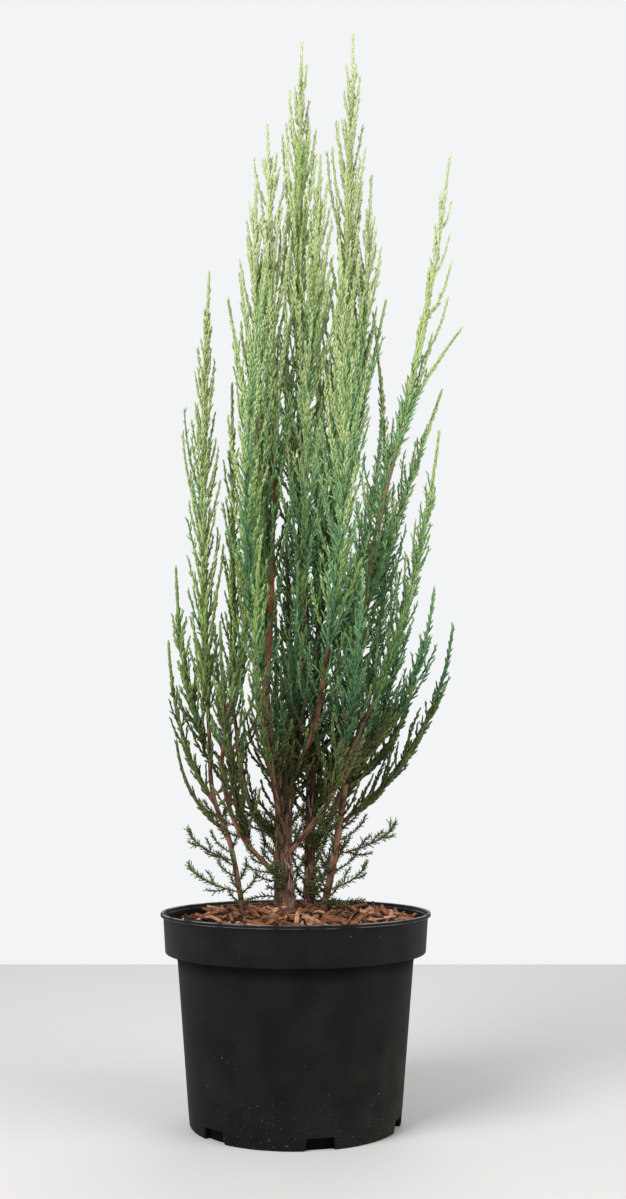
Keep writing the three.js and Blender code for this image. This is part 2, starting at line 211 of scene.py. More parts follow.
# One colour laid over another by a factor; each is three numbers or another node's output.
def blend(tree, factor, under, over):
    one, two = [c if isinstance(c, bpy.types.NodeSocket) else (*c, 1) for c in (under, over)]
    return addNode(tree, "MixRGB", {"Fac": factor, "Color1": one, "Color2": two})[0]


# Dark where a value is low or less, pale where it is high or more, and blended between.
def ramp(tree, value, low, dark, high, pale):
    node = tree.nodes.new("ShaderNodeValToRGB")
    for stop, place, colour in zip(node.color_ramp.elements, (low, high), (dark, pale)):
        stop.position, stop.color = place, (*colour, 1)
    tree.links.new(value, node.inputs["Fac"])
    return node.outputs["Color"]


# Gives one of the shader's own sockets an output.
def toShader(tree, socket, output):
    tree.links.new(output, tree.nodes["Principled BSDF"].inputs[socket])


# The surface stands up by a height times a depth in metres.
def addBump(tree, height, depth, strength=1.0):
    bump = addNode(tree, "Bump", {"Height": height, "Distance": depth, "Strength": strength})
    toShader(tree, "Normal", bump[0])


groundHeight = 206.3  # where the trunk leaves the mix

# Limbs: what each one stands on, its height there or its foot in the mix, the points it then goes
# through, and its radii at foot and tip.
limbCards = {
    "trunk": [None, [-10, 8, 186], [[-13, 8, 310], [6, 6, 450], [6, 4, 600], [3, 3, 800]], [10.4, 1.9]],
    "second_stem": [None, [14, 20, 192.3], [[16, 22, 352], [24, 17, 500], [38, 11, 650]], [6.2, 2.2]],
    "right_bough": [None, [25, -3, 192.3], [[48, -2, 315], [75, -7, 538], [94, -9, 650]], [3.9, 3.2]],
    "left_bough": [None, [-51, -6, 192.3], [[-68, -8, 278], [-87, -10, 331], [-92, -10, 400]], [3.0, 2.1]],
    "left_leader": ["trunk", 320, [[-32, 2, 400], [-28, -3, 530]], [4.4, 4.0]],
    "left_inner_bough": ["trunk", 238, [[-57, -16, 290], [-76, -24, 350], [-72, -29, 405]], [2.8, 2]],
    "left_back_bough": ["trunk", 276, [[-50, 26, 320], [-69, 39, 420]], [2.9, 2]],
    "right_inner_bough": ["trunk", 262, [[32, -19, 320], [72, -29, 405]], [2.9, 2]],
    "front_left_bough": ["trunk", 290, [[-24, -32, 350], [-28, -54, 430]], [2.9, 2]],
    "front_right_bough": ["trunk", 335, [[18, -34, 395], [30, -56, 460]], [3.2, 2]],
    "back_left_bough": ["trunk", 255, [[-20, 50, 340], [-32, 70, 430]], [3.4, 2]],
    "back_bough": ["second_stem", 320, [[22, 58, 390], [24, 76, 460]], [3.4, 2]],
    "back_right_bough": ["second_stem", 265, [[52, 40, 340], [74, 54, 420]], [3.4, 2]],
}
trunkFlare = {"extra": 0.168, "height": 16}  # by what share the trunk's foot is stouter, and how high up

limbs = {}  # each limb's even line of points and the radius at each


# A curve through points: each span a cubic whose end slopes are half the chord between its neighbours.
def curveThrough(points, steps=60):
    p = np.array(points, dtype=float)
    p = np.vstack([2 * p[0] - p[1], p, 2 * p[-1] - p[-2]])
    t = (np.arange(steps) / steps)[:, None]
    spans = []
    for k in range(1, len(p) - 2):
        a, b = p[k], p[k + 1]
        leaveSlope, meetSlope = (p[k + 1] - p[k - 1]) / 2, (p[k + 2] - p[k]) / 2
        spans.append(a * (2 * t**3 - 3 * t**2 + 1) + b * (3 * t**2 - 2 * t**3)
                     + leaveSlope * (t**3 - 2 * t**2 + t) + meetSlope * (t**3 - t**2))
    return np.vstack([*spans, p[-2:-1]])


# How far along a line each of its points is: the sum of the steps before it.
def runLengths(line):
    return np.concatenate([[0], np.cumsum(np.linalg.norm(np.diff(line, axis=0), axis=1))])


# The same line with its points spread evenly along it.
def evenLine(line, count):
    run = runLengths(line)
    return rowsAt(np.linspace(0, run[-1], count), run, line)


# Where a limb's line passes a height.
def axisAt(limb, height):
    line = limbs[limb]["line"]
    return rowsAt(height, line[:, 2], line)


# A limb's radius falls from foot to tip with the share of its length that is left, to the power 0.9. The
# trunk's foot is stouter by a share that fades as an exponential of the height above the mix.
def growLimbs():
    left = (1 - np.linspace(0, 1, limbPoints)) ** 0.9
    for name, (on, at, path, (footRadius, tipRadius)) in limbCards.items():
        start = axisAt(on, at) if on else at
        line = evenLine(curveThrough([start, *path]), limbPoints)
        limbs[name] = {"line": line, "radii": tipRadius + (footRadius - tipRadius) * left}
    trunk = limbs["trunk"]
    lift = np.maximum(0, trunk["line"][:, 2] - groundHeight)
    trunk["radii"] = trunk["radii"] * (1 + trunkFlare["extra"] * np.exp(-lift / trunkFlare["height"]))


# Masses of foliage: the limb each stands on, its height there or None for the limb's end, its tip, its
# tone, more where the light makes it paler, its fullness, less where sky shows beside it, and its
# slimness, less where side shoots stand closer to each other and to their stem.
massCards = {
    "crown_tip": ["trunk", None, [5, 0, 1182], 0, 1.2, 0.82],
    "second_stem_top": ["second_stem", None, [64, 0, 1192], 0, 1.08, 0.82],
    "right_top": ["right_bough", None, [171, -14, 1036], 0.14, 1, 1],
    "left_top": ["left_bough", None, [-98, -4, 905], 0.10, 0.8, 0.68],
    "left_leader_top": ["left_leader", None, [-34, -6, 1078], 0, 1.25, 1],
    "left_inner_top": ["left_inner_bough", None, [-75, -26, 865], -0.04, 0.6, 0.75],
    "left_back_top": ["left_back_bough", None, [-74, 36, 789], -0.06, 0.65, 0.75],
    "right_inner_top": ["right_inner_bough", None, [154, -24, 715], 0.04, 0.85, 0.75],
    "front_left_top": ["front_left_bough", None, [-32, -66, 885], -0.02, 0.65, 1],
    "front_right_top": ["front_right_bough", None, [46, -66, 915], 0.12, 1, 0.8],
    "back_left_top": ["back_left_bough", None, [-40, 70, 925], 0, 0.6, 1],
    "back_top": ["back_bough", None, [20, 66, 985], -0.04, 1.1, 1],
    "back_right_top": ["back_right_bough", None, [88, 56, 880], -0.01, 0.3, 1],
    "trunk_shoot_1": ["trunk", 350, [2, -42, 570], 0, 1, 1],
    "trunk_shoot_2": ["trunk", 385, [-12, 38, 650], -0.04, 1, 1],
    "trunk_shoot_3": ["trunk", 520, [10, -38, 810], 0.06, 1, 0.8],
    "trunk_shoot_4": ["trunk", 610, [-14, 36, 900], 0, 1, 1],
    "trunk_shoot_5": ["trunk", 720, [26, -26, 1030], 0, 1.3, 0.82],
    "second_shoot_1": ["second_stem", 300, [64, 26, 560], -0.06, 1, 1],
    "second_shoot_2": ["second_stem", 450, [96, 18, 769], 0.06, 0.45, 0.75],
    "second_shoot_3": ["second_stem", 545, [100, 14, 880], 0.06, 0.25, 0.75],
    "second_shoot_4": ["second_stem", 615, [84, 6, 1022], 0, 1.1, 0.82],
    "leader_shoot_1": ["left_leader", 420, [-62, 4, 890], 0, 0.3, 1],
    "leader_shoot_2": ["left_leader", 480, [-46, -14, 1008], 0, 1.25, 0.82],
    "right_shoot_1": ["right_bough", 610, [180, -12, 836], 0, 0.5, 0.75],
    "right_shoot_2": ["right_bough", 520, [160, 8, 771], 0.05, 0.8, 0.75],
    "right_shoot_3": ["right_bough", 300, [168, -2, 508], -0.04, 0.8, 0.75],
    "right_shoot_4": ["right_inner_bough", 350, [144, -46, 540], -0.05, 1, 0.75],
    "right_shoot_5": ["right_bough", 335, [130, 18, 470], 0, 1, 0.8],
    "left_shoot_1": ["left_bough", 375, [-130, -4, 572], 0.04, 0.9, 0.72],
    "left_shoot_2": ["left_bough", 320, [-136, -10, 490], 0, 0.6, 0.8],
    "left_shoot_3": ["left_bough", 292, [-124, -26, 384], 0, 0.4, 0.8],
    "front_shoot_1": ["front_left_bough", 350, [-34, -110, 585], 0, 0.6, 1],
    "front_shoot_2": ["left_inner_bough", 275, [-76, -82, 500], 0, 1, 1],
    "front_shoot_3": ["right_inner_bough", 320, [68, -100, 550], 0, 1, 1],
    "back_shoot_1": ["back_right_bough", 350, [62, 112, 610], 0, 1, 1],
    "back_shoot_2": ["left_back_bough", 320, [-94, 80, 520], 0, 1, 1],
    "back_shoot_3": ["back_right_bough", 310, [122, 62, 570], 0, 1, 1],
    "back_shoot_4": ["back_left_bough", 320, [-26, 116, 560], 0, 1, 1],
    "low_spray_left_1": ["left_bough", 262, [-112, -20, 296], 0.10, 0.8, 1],
    "low_spray_left_2": ["left_bough", 230, [-112, -8, 260], 0.12, 1, 1],
    "low_spray_right_1": ["right_bough", 268, [104, -12, 302], 0.06, 1, 1],
    "low_spray_right_2": ["right_bough", 232, [74, -14, 262], 0.06, 1, 1],
    "low_spray_back": ["second_stem", 236, [48, 76, 276], 0, 1, 1],
    "low_spray_front": ["trunk", 232, [-20, -52, 262], 0, 1, 1],
}

# The two habits of growth: plumes that point up, and the low sprays that spread.
habits = {
    "upright": {"bareFoot": 10, "shootPitch": 6.6, "firstShoot": 34, "freeTip": 60, "tipShoot": 4,
                "shortening": 0.38, "longest": 104, "shortest": 9,
                "leans": [0.36, 0.28, 0.2, 0.13], "lift": 0.35},
    "spreading": {"bareFoot": 8, "shootPitch": 13, "firstShoot": 9, "freeTip": 0, "tipShoot": 4,
                  "shortening": 0.36, "longest": 20, "shortest": 5,
                  "leans": [0.6, 0.45, 0.3, 0.2], "lift": 0.2},
}
twigCard = {
    # where a leading shoot's pull is: so far straight on from a limb's end, or on a limb's side by the
    # shares of its foot and its tip, and so high up
    "straight": 0.4, "inward": 0.15, "outward": 0.85, "pullHeight": 0.34,
    "clearance": 1.5, "mingle": 5.0,  # room kept from bark, and how far shoots of two masses mingle
    "heights": [450, 950], "closeness": [1.0, 0.76],  # side shoots lie closer to their stem higher up
    # one shoot in so many is a chief one and the others are finer; above the bushy height one of those,
    # the third after it, is short instead and lies close, and thickens the column
    "chiefEvery": 5, "shortOne": 3, "bushy": 700.0,
    "finerLength": [0.50, 0.90], "finerLean": [1.35, 0.95], "closeLength": 30.0, "closeLean": 0.55,
    # a rope has no finer shoots, and its chief ones stand further apart, all to the right
    "ropes": ["right_top"], "ropeEvery": 8,
    # how far the pull of a leading shoot moves, so that sky or the bare wood behind it shows
    "bows": {"front_left_top": [-32, 0, 0], "front_shoot_1": [-16, 0, 0], "leader_shoot_1": [34, 0, 0],
             "left_inner_top": [36, 0, 0], "left_back_top": [24, 0, 0], "right_top": [19, 0, 0],
             "second_shoot_3": [-36, 0, 0], "right_shoot_1": [-70, 0, 40], "right_shoot_2": [-31, 0, 40]},
    # a side shoot's pull and tip, ahead and out by shares of its size; the lesser ones are straighter
    "pullAhead": 0.3, "pullOut": 0.8, "tipAhead": 0.93, "straighter": 0.12,
    "tried": [0.3, 0.5, 0.7, 0.85, 1.0],  # where along a shoot its room is tried
    "shrink": 0.8, "shrinks": 8,  # how it gets smaller where it has no room, and how many sizes are tried
    # the share at a shoot's foot without sprays, and where it is more because the wood shows
    "bare": 0.05, "bareFeet": {"left_leader_top": 0.34, "right_top": 0.15},
}

stems = {}  # each mass's leading shoot, its even line and its length
ownMarks = {}  # points along each leading shoot
limbMarks = []  # points along every limb, each with its radius


# A bent shoot: start, pull and tip blended by the squares of the share left and the share gone.
def bend(shoots, share):
    start, pull, tip = shoots[..., 0, :], shoots[..., 1, :], shoots[..., 2, :]
    t = np.asarray(share)[..., None]
    return start * (1 - t) ** 2 + pull * 2 * t * (1 - t) + tip * t**2


# The way it points: from start to pull by the share left, and from pull to tip by the share gone.
def bendSlope(shoots, share):
    start, pull, tip = shoots[..., 0, :], shoots[..., 1, :], shoots[..., 2, :]
    t = np.asarray(share)[..., None]
    return unit((pull - start) * (1 - t) + (tip - pull) * t)


# Leading shoots: one at a limb's end is pulled straight on by a share of the way to its tip; the pull of
# one off a limb's side is its foot and its tip blended, at a share of the height between them.
def growStems():
    t = twigCard
    for name, (limb, height, tip, *_) in massCards.items():
        tip = np.array(tip, dtype=float)
        if height is None:
            line = limbs[limb]["line"]
            start = line[-1]
            pull = start + unit(line[-1] - line[-2]) * t["straight"] * np.linalg.norm(tip - start)
        else:
            start = axisAt(limb, height)
            pull = start * t["inward"] + tip * t["outward"]
            pull[2] = start[2] + t["pullHeight"] * (tip[2] - start[2])
        shoot = np.array([start, pull + t["bows"].get(name, [0, 0, 0]), tip])
        line = evenLine(bend(shoot, np.linspace(0, 1, stemPoints)), stemPoints)
        stems[name] = {"shoot": shoot, "line": line, "length": runLengths(line)[-1]}


# Points every 8 mm along the leading shoots, and every third point of the limbs with its radius.
def markSpace():
    for name, stem in stems.items():
        ownMarks[name] = evenLine(stem["line"], max(4, int(stem["length"] / 8))).astype(np.float32)
    marks = [np.column_stack([limb["line"][::3], limb["radii"][::3]]) for limb in limbs.values()]
    limbMarks.append(np.vstack(marks).astype(np.float32))


# How far each spot is from the nearest limb's bark.
def barkRoom(spots):
    flat, marks = spots.reshape(-1, 3).astype(np.float32), limbMarks[0]
    room = np.linalg.norm(flat[:, None] - marks[None, :, :3], axis=2) - marks[None, :, 3]
    return room.min(1).reshape(spots.shape[:-1])


# Room left at each spot: half the way from this stem to the nearest other one, and never inside a limb.
def roomFor(name, spots):
    flat = spots.reshape(-1, 3).astype(np.float32)
    own = np.linalg.norm(flat[:, None] - ownMarks[name][None], axis=2).min(1)
    others = np.concatenate([marks for other, marks in ownMarks.items() if other != name])
    other = np.linalg.norm(flat[:, None] - others[None], axis=2).min(1)
    return np.minimum(((other - own) / 2).reshape(spots.shape[:-1]) + twigCard["mingle"], barkRoom(spots))


# The side shoots of one mass, a golden turn apart and longer the further they stand from its tip. Each
# takes the widest lean and then the greatest length that has room.
def sideShoots(name, order):
    t, stem = twigCard, stems[name]
    isLow = name.startswith("low_spray")
    habit = habits["spreading" if isLow else "upright"]
    full, slim = massCards[name][4:]
    pitch = habit["shootPitch"] * slim
    count = int((stem["length"] - habit["bareFoot"] - habit["firstShoot"]) / pitch) + 1
    k = np.arange(max(0, count))
    k = k[habit["firstShoot"] + k * pitch > habit["freeTip"]]
    fall = habit["firstShoot"] + k * pitch  # each one's way from the tip
    places, marks = (1 - fall / stem["length"]) * (stemPoints - 1), np.arange(stemPoints)
    foot = rowsAt(places, marks, stem["line"])
    ahead = rowsAt(places, marks, unit(np.gradient(stem["line"], axis=0)))
    ahead = unit(ahead * (1 - habit["lift"]) + up * habit["lift"])
    first, second = across(ahead)
    out = turned(first, second, order + k * goldenTurn)
    chief = (k % t["chiefEvery"] == 0) | isLow
    finer = ~chief & ((k % t["chiefEvery"] != t["shortOne"]) | (foot[:, 2] < t["bushy"]))
    if name in t["ropes"]:
        chief, finer = k % t["ropeEvery"] == 0, chief & False
        sideways = 0.9 * (chance(order, k) - 0.5)
        out = np.where(chief[:, None], turned(first, second, sideways), out)
    short = ~chief & ~finer
    closeness, finerLength, finerLean = [
        np.interp(foot[:, 2], t["heights"], t[fact]) for fact in ("closeness", "finerLength", "finerLean")]
    length = np.minimum(habit["longest"], habit["tipShoot"] + habit["shortening"] * fall)
    length = length * (0.7 + 0.6 * chance(order, k)) * full
    length = np.where(finer, length * finerLength, length)
    shortLength = t["closeLength"] * (0.6 + 0.6 * chance(order + 5, k))
    length = np.where(short, np.minimum(length, shortLength), length)
    close = slim * closeness * np.where(finer, finerLean, 1)
    close = close * np.where(short, t["closeLean"], 1)
    shoots, made = np.zeros((len(k), 3, 3)), np.zeros(len(k), dtype=bool)
    shares = np.array(t["tried"])
    for shrink in t["shrink"] ** np.arange(t["shrinks"]):
        for lean in habit["leans"]:
            rest = np.flatnonzero(~made & (length * shrink >= habit["shortest"]))
            if not len(rest):
                continue
            size = (length * shrink)[rest][:, None]
            aside = out[rest] * lean * close[rest][:, None] * size
            bow = np.where(chief[rest], 0.0, t["straighter"])[:, None]
            pull = foot[rest] + ahead[rest] * (t["pullAhead"] + bow) * size + aside * (t["pullOut"] - bow)
            tip = foot[rest] + ahead[rest] * t["tipAhead"] * size + aside
            tried = np.stack([foot[rest], pull, tip], 1)
            spots = bend(tried[:, None], np.broadcast_to(shares, (len(rest), len(shares))))
            fits = (roomFor(name, spots) > t["clearance"]).all(1)
            shoots[rest[fits]] = tried[fits]
            made[rest[fits]] = True
    return shoots[made]


# Leafy twigs straight off the limbs, short near the mix and longer higher up.
limbTwigCard = {
    "pitch": 2.5, "lowest": 214.0, "share": {"trunk": 0.28, "second_stem": 0.8}, "othersShare": 0.26,
    "shortest": 20.0, "longest": 58.0, "fullHeight": 430.0,  # the height where they reach their full length
    "crowded": 310.0, "sparse": 5,  # above this height only one in so many grows
    # but between these heights each one in so many grows here
    "clothed": {"trunk": [(325, 470, 1), (470, 2000, 2)], "second_stem": [(300, 2000, 2)],
                "right_bough": [(330, 600, 1)], "front_right_bough": [(335, 600, 2)]},
    "bare": {"left_leader": 400.0},  # none here above this height, so that its orange bark shows
    "lean": 0.5, "lift": 0.4, "wideLean": 0.85,  # how far they lean out, and how far the lowest ones do
    # a twig's pull and tip by shares of its size, its tip less far ahead the more it leans
    "pullAhead": 0.35, "pullOut": 0.9, "tipAhead": 1.1, "tipLess": 0.4,
    "clearance": 1.2, "start": 4, "spare": 6,  # room kept from bark; the first one's place; length left free
    "needled": 300.0, "needledTint": 0.03, "tint": -0.04,  # below this height they are needled and paler
}

# A few more twigs, each by its foot, its pull and its tip: some sprawl over the mulch, some climb the trunk.
placedTwigs = [
    [[28, -6, 214], [44, -26, 222], [70, -36, 225]], [[27, -5, 218], [38, -34, 228], [50, -48, 222]],
    [[15, 18, 216], [20, 2, 230], [33, -14, 236]], [[-12, 2, 222], [-30, -20, 232], [-54, -28, 222]],
    [[-12, -2, 304], [-18, -20, 320], [-24, -22, 366]], [[-10, -2, 312], [-8, -18, 334], [-12, -24, 384]],
    [[-9, -2, 322], [-2, -18, 345], [-2, -22, 402]], [[-16, -2, 330], [-24, -16, 352], [-24, -20, 410]],
    [[-4, -2, 350], [-8, -18, 374], [-14, -22, 436]], [[0, -2, 366], [8, -16, 390], [8, -20, 450]],
]


# Twigs a golden turn apart up every limb: each goes ahead and out by its size, out most where it stands
# low; those with their middle or tip in a limb are dropped, and so are most in the crowded part.
def limbTwigs():
    t = limbTwigCard
    twigs = []
    for order, (name, limb) in enumerate(limbs.items()):
        line = limb["line"]
        run = runLengths(line)
        k = np.arange(int((run[-1] - t["spare"]) / t["pitch"]))
        along = t["start"] + k * t["pitch"]
        foot = rowsAt(along, run, line)
        ahead = unit(rowsAt(along, run, np.gradient(line, axis=0)))
        ahead = unit(ahead * (1 - t["lift"]) + up * t["lift"])
        out = turned(*across(ahead), order * 2.0 + k * goldenTurn)
        grown = np.clip((foot[:, 2] - t["lowest"]) / (t["fullHeight"] - t["lowest"]), 0, 1)
        lean = (t["wideLean"] + (t["lean"] - t["wideLean"]) * grown)[:, None]
        size = (t["shortest"] + (t["longest"] - t["shortest"]) * grown) * (0.6 + 0.7 * chance(order + 50, k))
        size = size[:, None]
        pull = foot + ahead * t["pullAhead"] * size + out * t["pullOut"] * lean * size
        tip = foot + ahead * (t["tipAhead"] - t["tipLess"] * lean) * size + out * lean * size
        made = np.stack([foot, pull, tip], 1)
        spots = bend(made[:, None], np.broadcast_to([0.5, 0.75, 1.0], (len(k), 3)))
        clear = (barkRoom(spots) > t["clearance"]).all(1)
        share = t["share"].get(name, t["othersShare"])
        kept = (chance(order + 9, k) < share) & (foot[:, 2] < t["crowded"]) | (k % t["sparse"] == 0)
        for low, high, every in t["clothed"].get(name, []):
            kept |= (foot[:, 2] > low) & (foot[:, 2] < high) & (k % every == 0)
        kept &= foot[:, 2] < t["bare"].get(name, math.inf)
        twigs.append(made[clear & kept & (foot[:, 2] > t["lowest"])])
    return np.concatenate([*twigs, np.array(placedTwigs, dtype=float)])


# All shoots of the plant together: their three points, their lengths by eight chords, and what the sprays
# on them need to know.
def gatherShoots():
    t = limbTwigCard
    curves, table = [], []
    for order, (name, card) in enumerate(massCards.items()):
        here = np.concatenate([stems[name]["shoot"][None], sideShoots(name, order)])
        facts = [0.0, name.startswith("low_spray"), *card[3:5], twigCard["bare"]]
        rows = np.tile(facts, (len(here), 1))
        rows[0, [0, 4]] = 1, twigCard["bareFeet"].get(name, twigCard["bare"])
        curves.append(here)
        table.append(rows)
    twigs = limbTwigs()
    needled = twigs[:, 0, 2] < t["needled"]
    rows = np.tile([0.0, 0.0, 0.0, 1.0, twigCard["bare"]], (len(twigs), 1))
    rows[:, 1], rows[:, 2] = needled, np.where(needled, t["needledTint"], t["tint"])
    curve = np.concatenate([*curves, twigs])
    isStem, needled, tint, full, bare = np.concatenate([*table, rows]).T
    tint = tint + toneCard["shootLuck"] * (chance(np.arange(len(curve)), 19) - 0.5)
    marks = bend(curve[:, None], np.linspace(0, 1, 9)[None])
    span = np.linalg.norm(np.diff(marks, axis=1), axis=2).sum(1)
    return {"curve": curve, "isStem": isStem > 0, "needled": needled > 0, "tint": tint, "full": full,
            "bare": bare, "span": span}


# Tubes round many shoots at once: rings of corners across each shoot's slope, closed by a point at each end.
def shootTubes(curves, footRadius, tipRadius, rings, sides):
    count = len(curves)
    share = np.broadcast_to(np.linspace(0, 1, rings), (count, rings))
    centre, slope = bend(curves[:, None], share), bendSlope(curves[:, None], share)
    first, second = across(slope)
    radius = footRadius[:, None] * (1 - share) + tipRadius[:, None] * share
    ring = turned(first[:, :, None], second[:, :, None], np.arange(sides) * 2 * np.pi / sides)
    skin = centre[:, :, None] + ring * radius[:, :, None, None]
    ends = np.stack([centre[:, 0] - slope[:, 0] * 0.3, centre[:, -1] + slope[:, -1] * 0.6], 1)
    vertices = np.concatenate([skin.reshape(count, -1, 3), ends], 1)
    return vertices.reshape(-1, 3), repeated(tubeFaces(rings, sides), count, vertices.shape[1])


# The part of a shoot between two shares, as three points again; the pull stands where the end slopes meet.
def partOf(curves, low, high):
    start, tip = bend(curves, np.full(len(curves), low)), bend(curves, np.full(len(curves), high))
    a, b, c = curves[:, 0], curves[:, 1], curves[:, 2]
    slope = 2 * ((b - a) * (1 - low) + (c - b) * low)
    return np.stack([start, start + slope * (high - low) / 2, tip], 1)


# Wood of the twigs, from brown low down, through olive tan, to green on this year's growth.
woodCard = {
    "stemFoot": 2.1, "stemTip": 1.3, "sideFoot": 0.72, "sideSlope": 0.007, "sideTip": 0.7,
    "needledFoot": 0.8, "stemParts": 12, "sideParts": 4, "rings": 3, "sides": 4,
    "low": 430, "stemLow": 600, "high": 850, "tanHigh": 900,  # heights where the colours change
    "old": 40, "stemOld": 90, "tanOld": 100,  # and how far from its shoot's tip a part has each of them
    "colours": {"brown": (0.115, 0.062, 0.036), "tan": (0.160, 0.145, 0.062), "moss": (0.050, 0.070, 0.026),
                "green": (0.150, 0.215, 0.068), "pale": (0.360, 0.440, 0.180)},
}


# Every shoot as a tube in parts, thinner in even steps from foot to tip; a part is coloured by its height
# and by how far it is from its shoot's tip.
def makeTwigs(shoots):
    w = woodCard
    parts = {hue: [] for hue in w["colours"]}
    foot = np.where(shoots["isStem"], w["stemFoot"], w["sideFoot"] + w["sideSlope"] * shoots["span"])
    foot = np.where(shoots["needled"], np.minimum(foot, w["needledFoot"]), foot)
    tip = np.where(shoots["isStem"] & ~shoots["needled"], w["stemTip"], np.minimum(foot, w["sideTip"]))
    for which, pieces in ((shoots["isStem"], w["stemParts"]), (~shoots["isStem"], w["sideParts"])):
        for k in range(pieces):
            low, high = k / pieces, (k + 1) / pieces
            curve = partOf(shoots["curve"][which], low, high)
            height = curve[:, 1, 2]
            age = (1 - (low + high) / 2) * shoots["span"][which]  # how far the part is from its shoot's tip
            brown = (height < w["low"]) & (age > w["old"])
            brown |= shoots["isStem"][which] & (height < w["stemLow"]) & (age > w["stemOld"])
            tan = (age > w["tanOld"]) & (height < w["tanHigh"])
            kind = np.select([brown, tan, height < w["low"], height < w["high"]], [0, 1, 2, 3], 4)
            thick = [(foot + (tip - foot) * share)[which] for share in (low, high)]
            for index, hue in enumerate(parts):
                some = kind == index
                parts[hue].append((curve[some], thick[0][some], thick[1][some]))
    for hue, groups in parts.items():
        material = plainMaterial(f"twigWood{hue.capitalize()}", w["colours"][hue], 0.75, 0.2)
        curve, foots, tips = [np.concatenate([g[i] for g in groups]) for i in range(3)]
        vertices, faces = shootTubes(curve, foots, tips, w["rings"], w["sides"])
        print(f"  {hue} twigs: {len(curve)} parts, {len(faces)} triangles")
        piece = addPiece(f"twigs_{hue}", vertices, faces, material)
        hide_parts(*massCards)


# Three kinds of spray; each fact has its value for the rope-like, the feathery and the needled in turn.
sprayCard = {
    "pitch": (2.4, 2.4, 1.1), "stemPitch": (1.1, 1.1, 0.8),  # between sprays on side shoots and leading ones
    "cover": (7.5, 6.0, 5.2), "coverSpread": (0.26, 0.30, 0.80),  # length and lean of those close to it
    "every": (4, 2, 4), "branchlet": (9.0, 9.5, 7.0),  # one in so many is a branchlet that stands off it
    "branchletSpread": (0.36, 0.55, 0.90), "grow": (22, 20, 7),  # nearly full grown so far from the tip
    # of a spray one unit long: its cord's radius, its leaves' number, length and girth, and how they lean
    "cord": (0.165, 0.135, 0.090), "leaves": (3, 3, 5), "leaf": (0.27, 0.28, 0.42),
    "leafGirth": (0.095, 0.085, 0.075), "out": (0.55, 0.75, 0.80),
}
stemSprays = {"size": 2.1, "grow": 110.0}  # sprays on a leading shoot are longer, away from its tip
rope, feather, needle = 0, 1, 2
turnsOfShape = (0.0, 1.1, 2.3)  # each kind comes turned three ways
mostSprays = 5800  # in one piece


# One spray, a unit long: a three-sided cord, widest below its middle and blunt at its tip, and scale
# leaves standing off it turn by turn, each a three-sided pyramid closed at its foot.
def sprayShape(kind, seed):
    s = {fact: values[kind] for fact, values in sprayCard.items()}
    corners = np.arange(3) * 2 * np.pi / 3 + seed
    circle = np.stack([np.cos(corners), np.sin(corners), np.zeros(3)], 1)
    c, d = np.arange(3), (np.arange(3) + 1) % 3
    wide, narrow = circle * s["cord"], circle * 0.8 * s["cord"]
    vertices = [wide + [0, 0, 0.32], narrow + [0, 0, 0.78], [[0, 0, 0], [0, 0, 1.0]]]
    faces = [np.stack([c, d, d + 3], 1), np.stack([c, d + 3, c + 3], 1), np.stack([d, c, c * 0 + 6], 1),
             np.stack([c + 3, d + 3, c * 0 + 7], 1)]
    for i in range(s["leaves"]):
        turn = seed + i * goldenTurn
        ahead = unit(np.array([math.cos(turn) * s["out"], math.sin(turn) * s["out"], 1 - 0.3 * s["out"]]))
        foot = np.array([0, 0, 0.10 + 0.75 * i / s["leaves"]])
        length = s["leaf"] * (1 - 0.3 * i / s["leaves"])
        base = 8 + i * 4
        vertices.append(foot + turned(*across(ahead), corners) * s["leafGirth"])
        vertices.append([foot + ahead * length])
        faces.append(np.stack([base + c, base + d, c * 0 + base + 3], 1))
        faces.append([[base + 2, base + 1, base]])
    return np.concatenate(vertices), np.concatenate(faces)


# Sprays in place: the unit spray made as long as each one is and as wide as its girth, then turned
# onto its own three directions.
def placeSprays(sprays, shape):
    vertices, faces = shape
    first, second = across(sprays["ahead"])
    side, back = turned(first, second, sprays["spin"]), turned(second, -first, sprays["spin"])
    girth = sprays["girth"][:, None]
    axes = np.stack([side * girth, back * girth, sprays["ahead"] * sprays["size"][:, None]], 1)
    placed = sprays["foot"][:, None] + np.einsum("vk,nkd->nvd", vertices, axes)
    return placed.reshape(-1, 3), repeated(faces, len(placed), len(vertices))


# Plain base colours in two rows, each from the shaded foot of the plant to its new tips.
greens = {
    "fresh": [(0.042, 0.047, 0.016), (0.073, 0.085, 0.028), (0.106, 0.140, 0.046), (0.146, 0.217, 0.069),
              (0.213, 0.318, 0.095), (0.310, 0.430, 0.148), (0.420, 0.515, 0.230), (0.525, 0.590, 0.345)],
    "blue": [(0.016, 0.046, 0.020), (0.025, 0.076, 0.034), (0.041, 0.122, 0.057), (0.068, 0.182, 0.087),
             (0.110, 0.258, 0.124), (0.180, 0.355, 0.168), (0.260, 0.443, 0.205)],
}

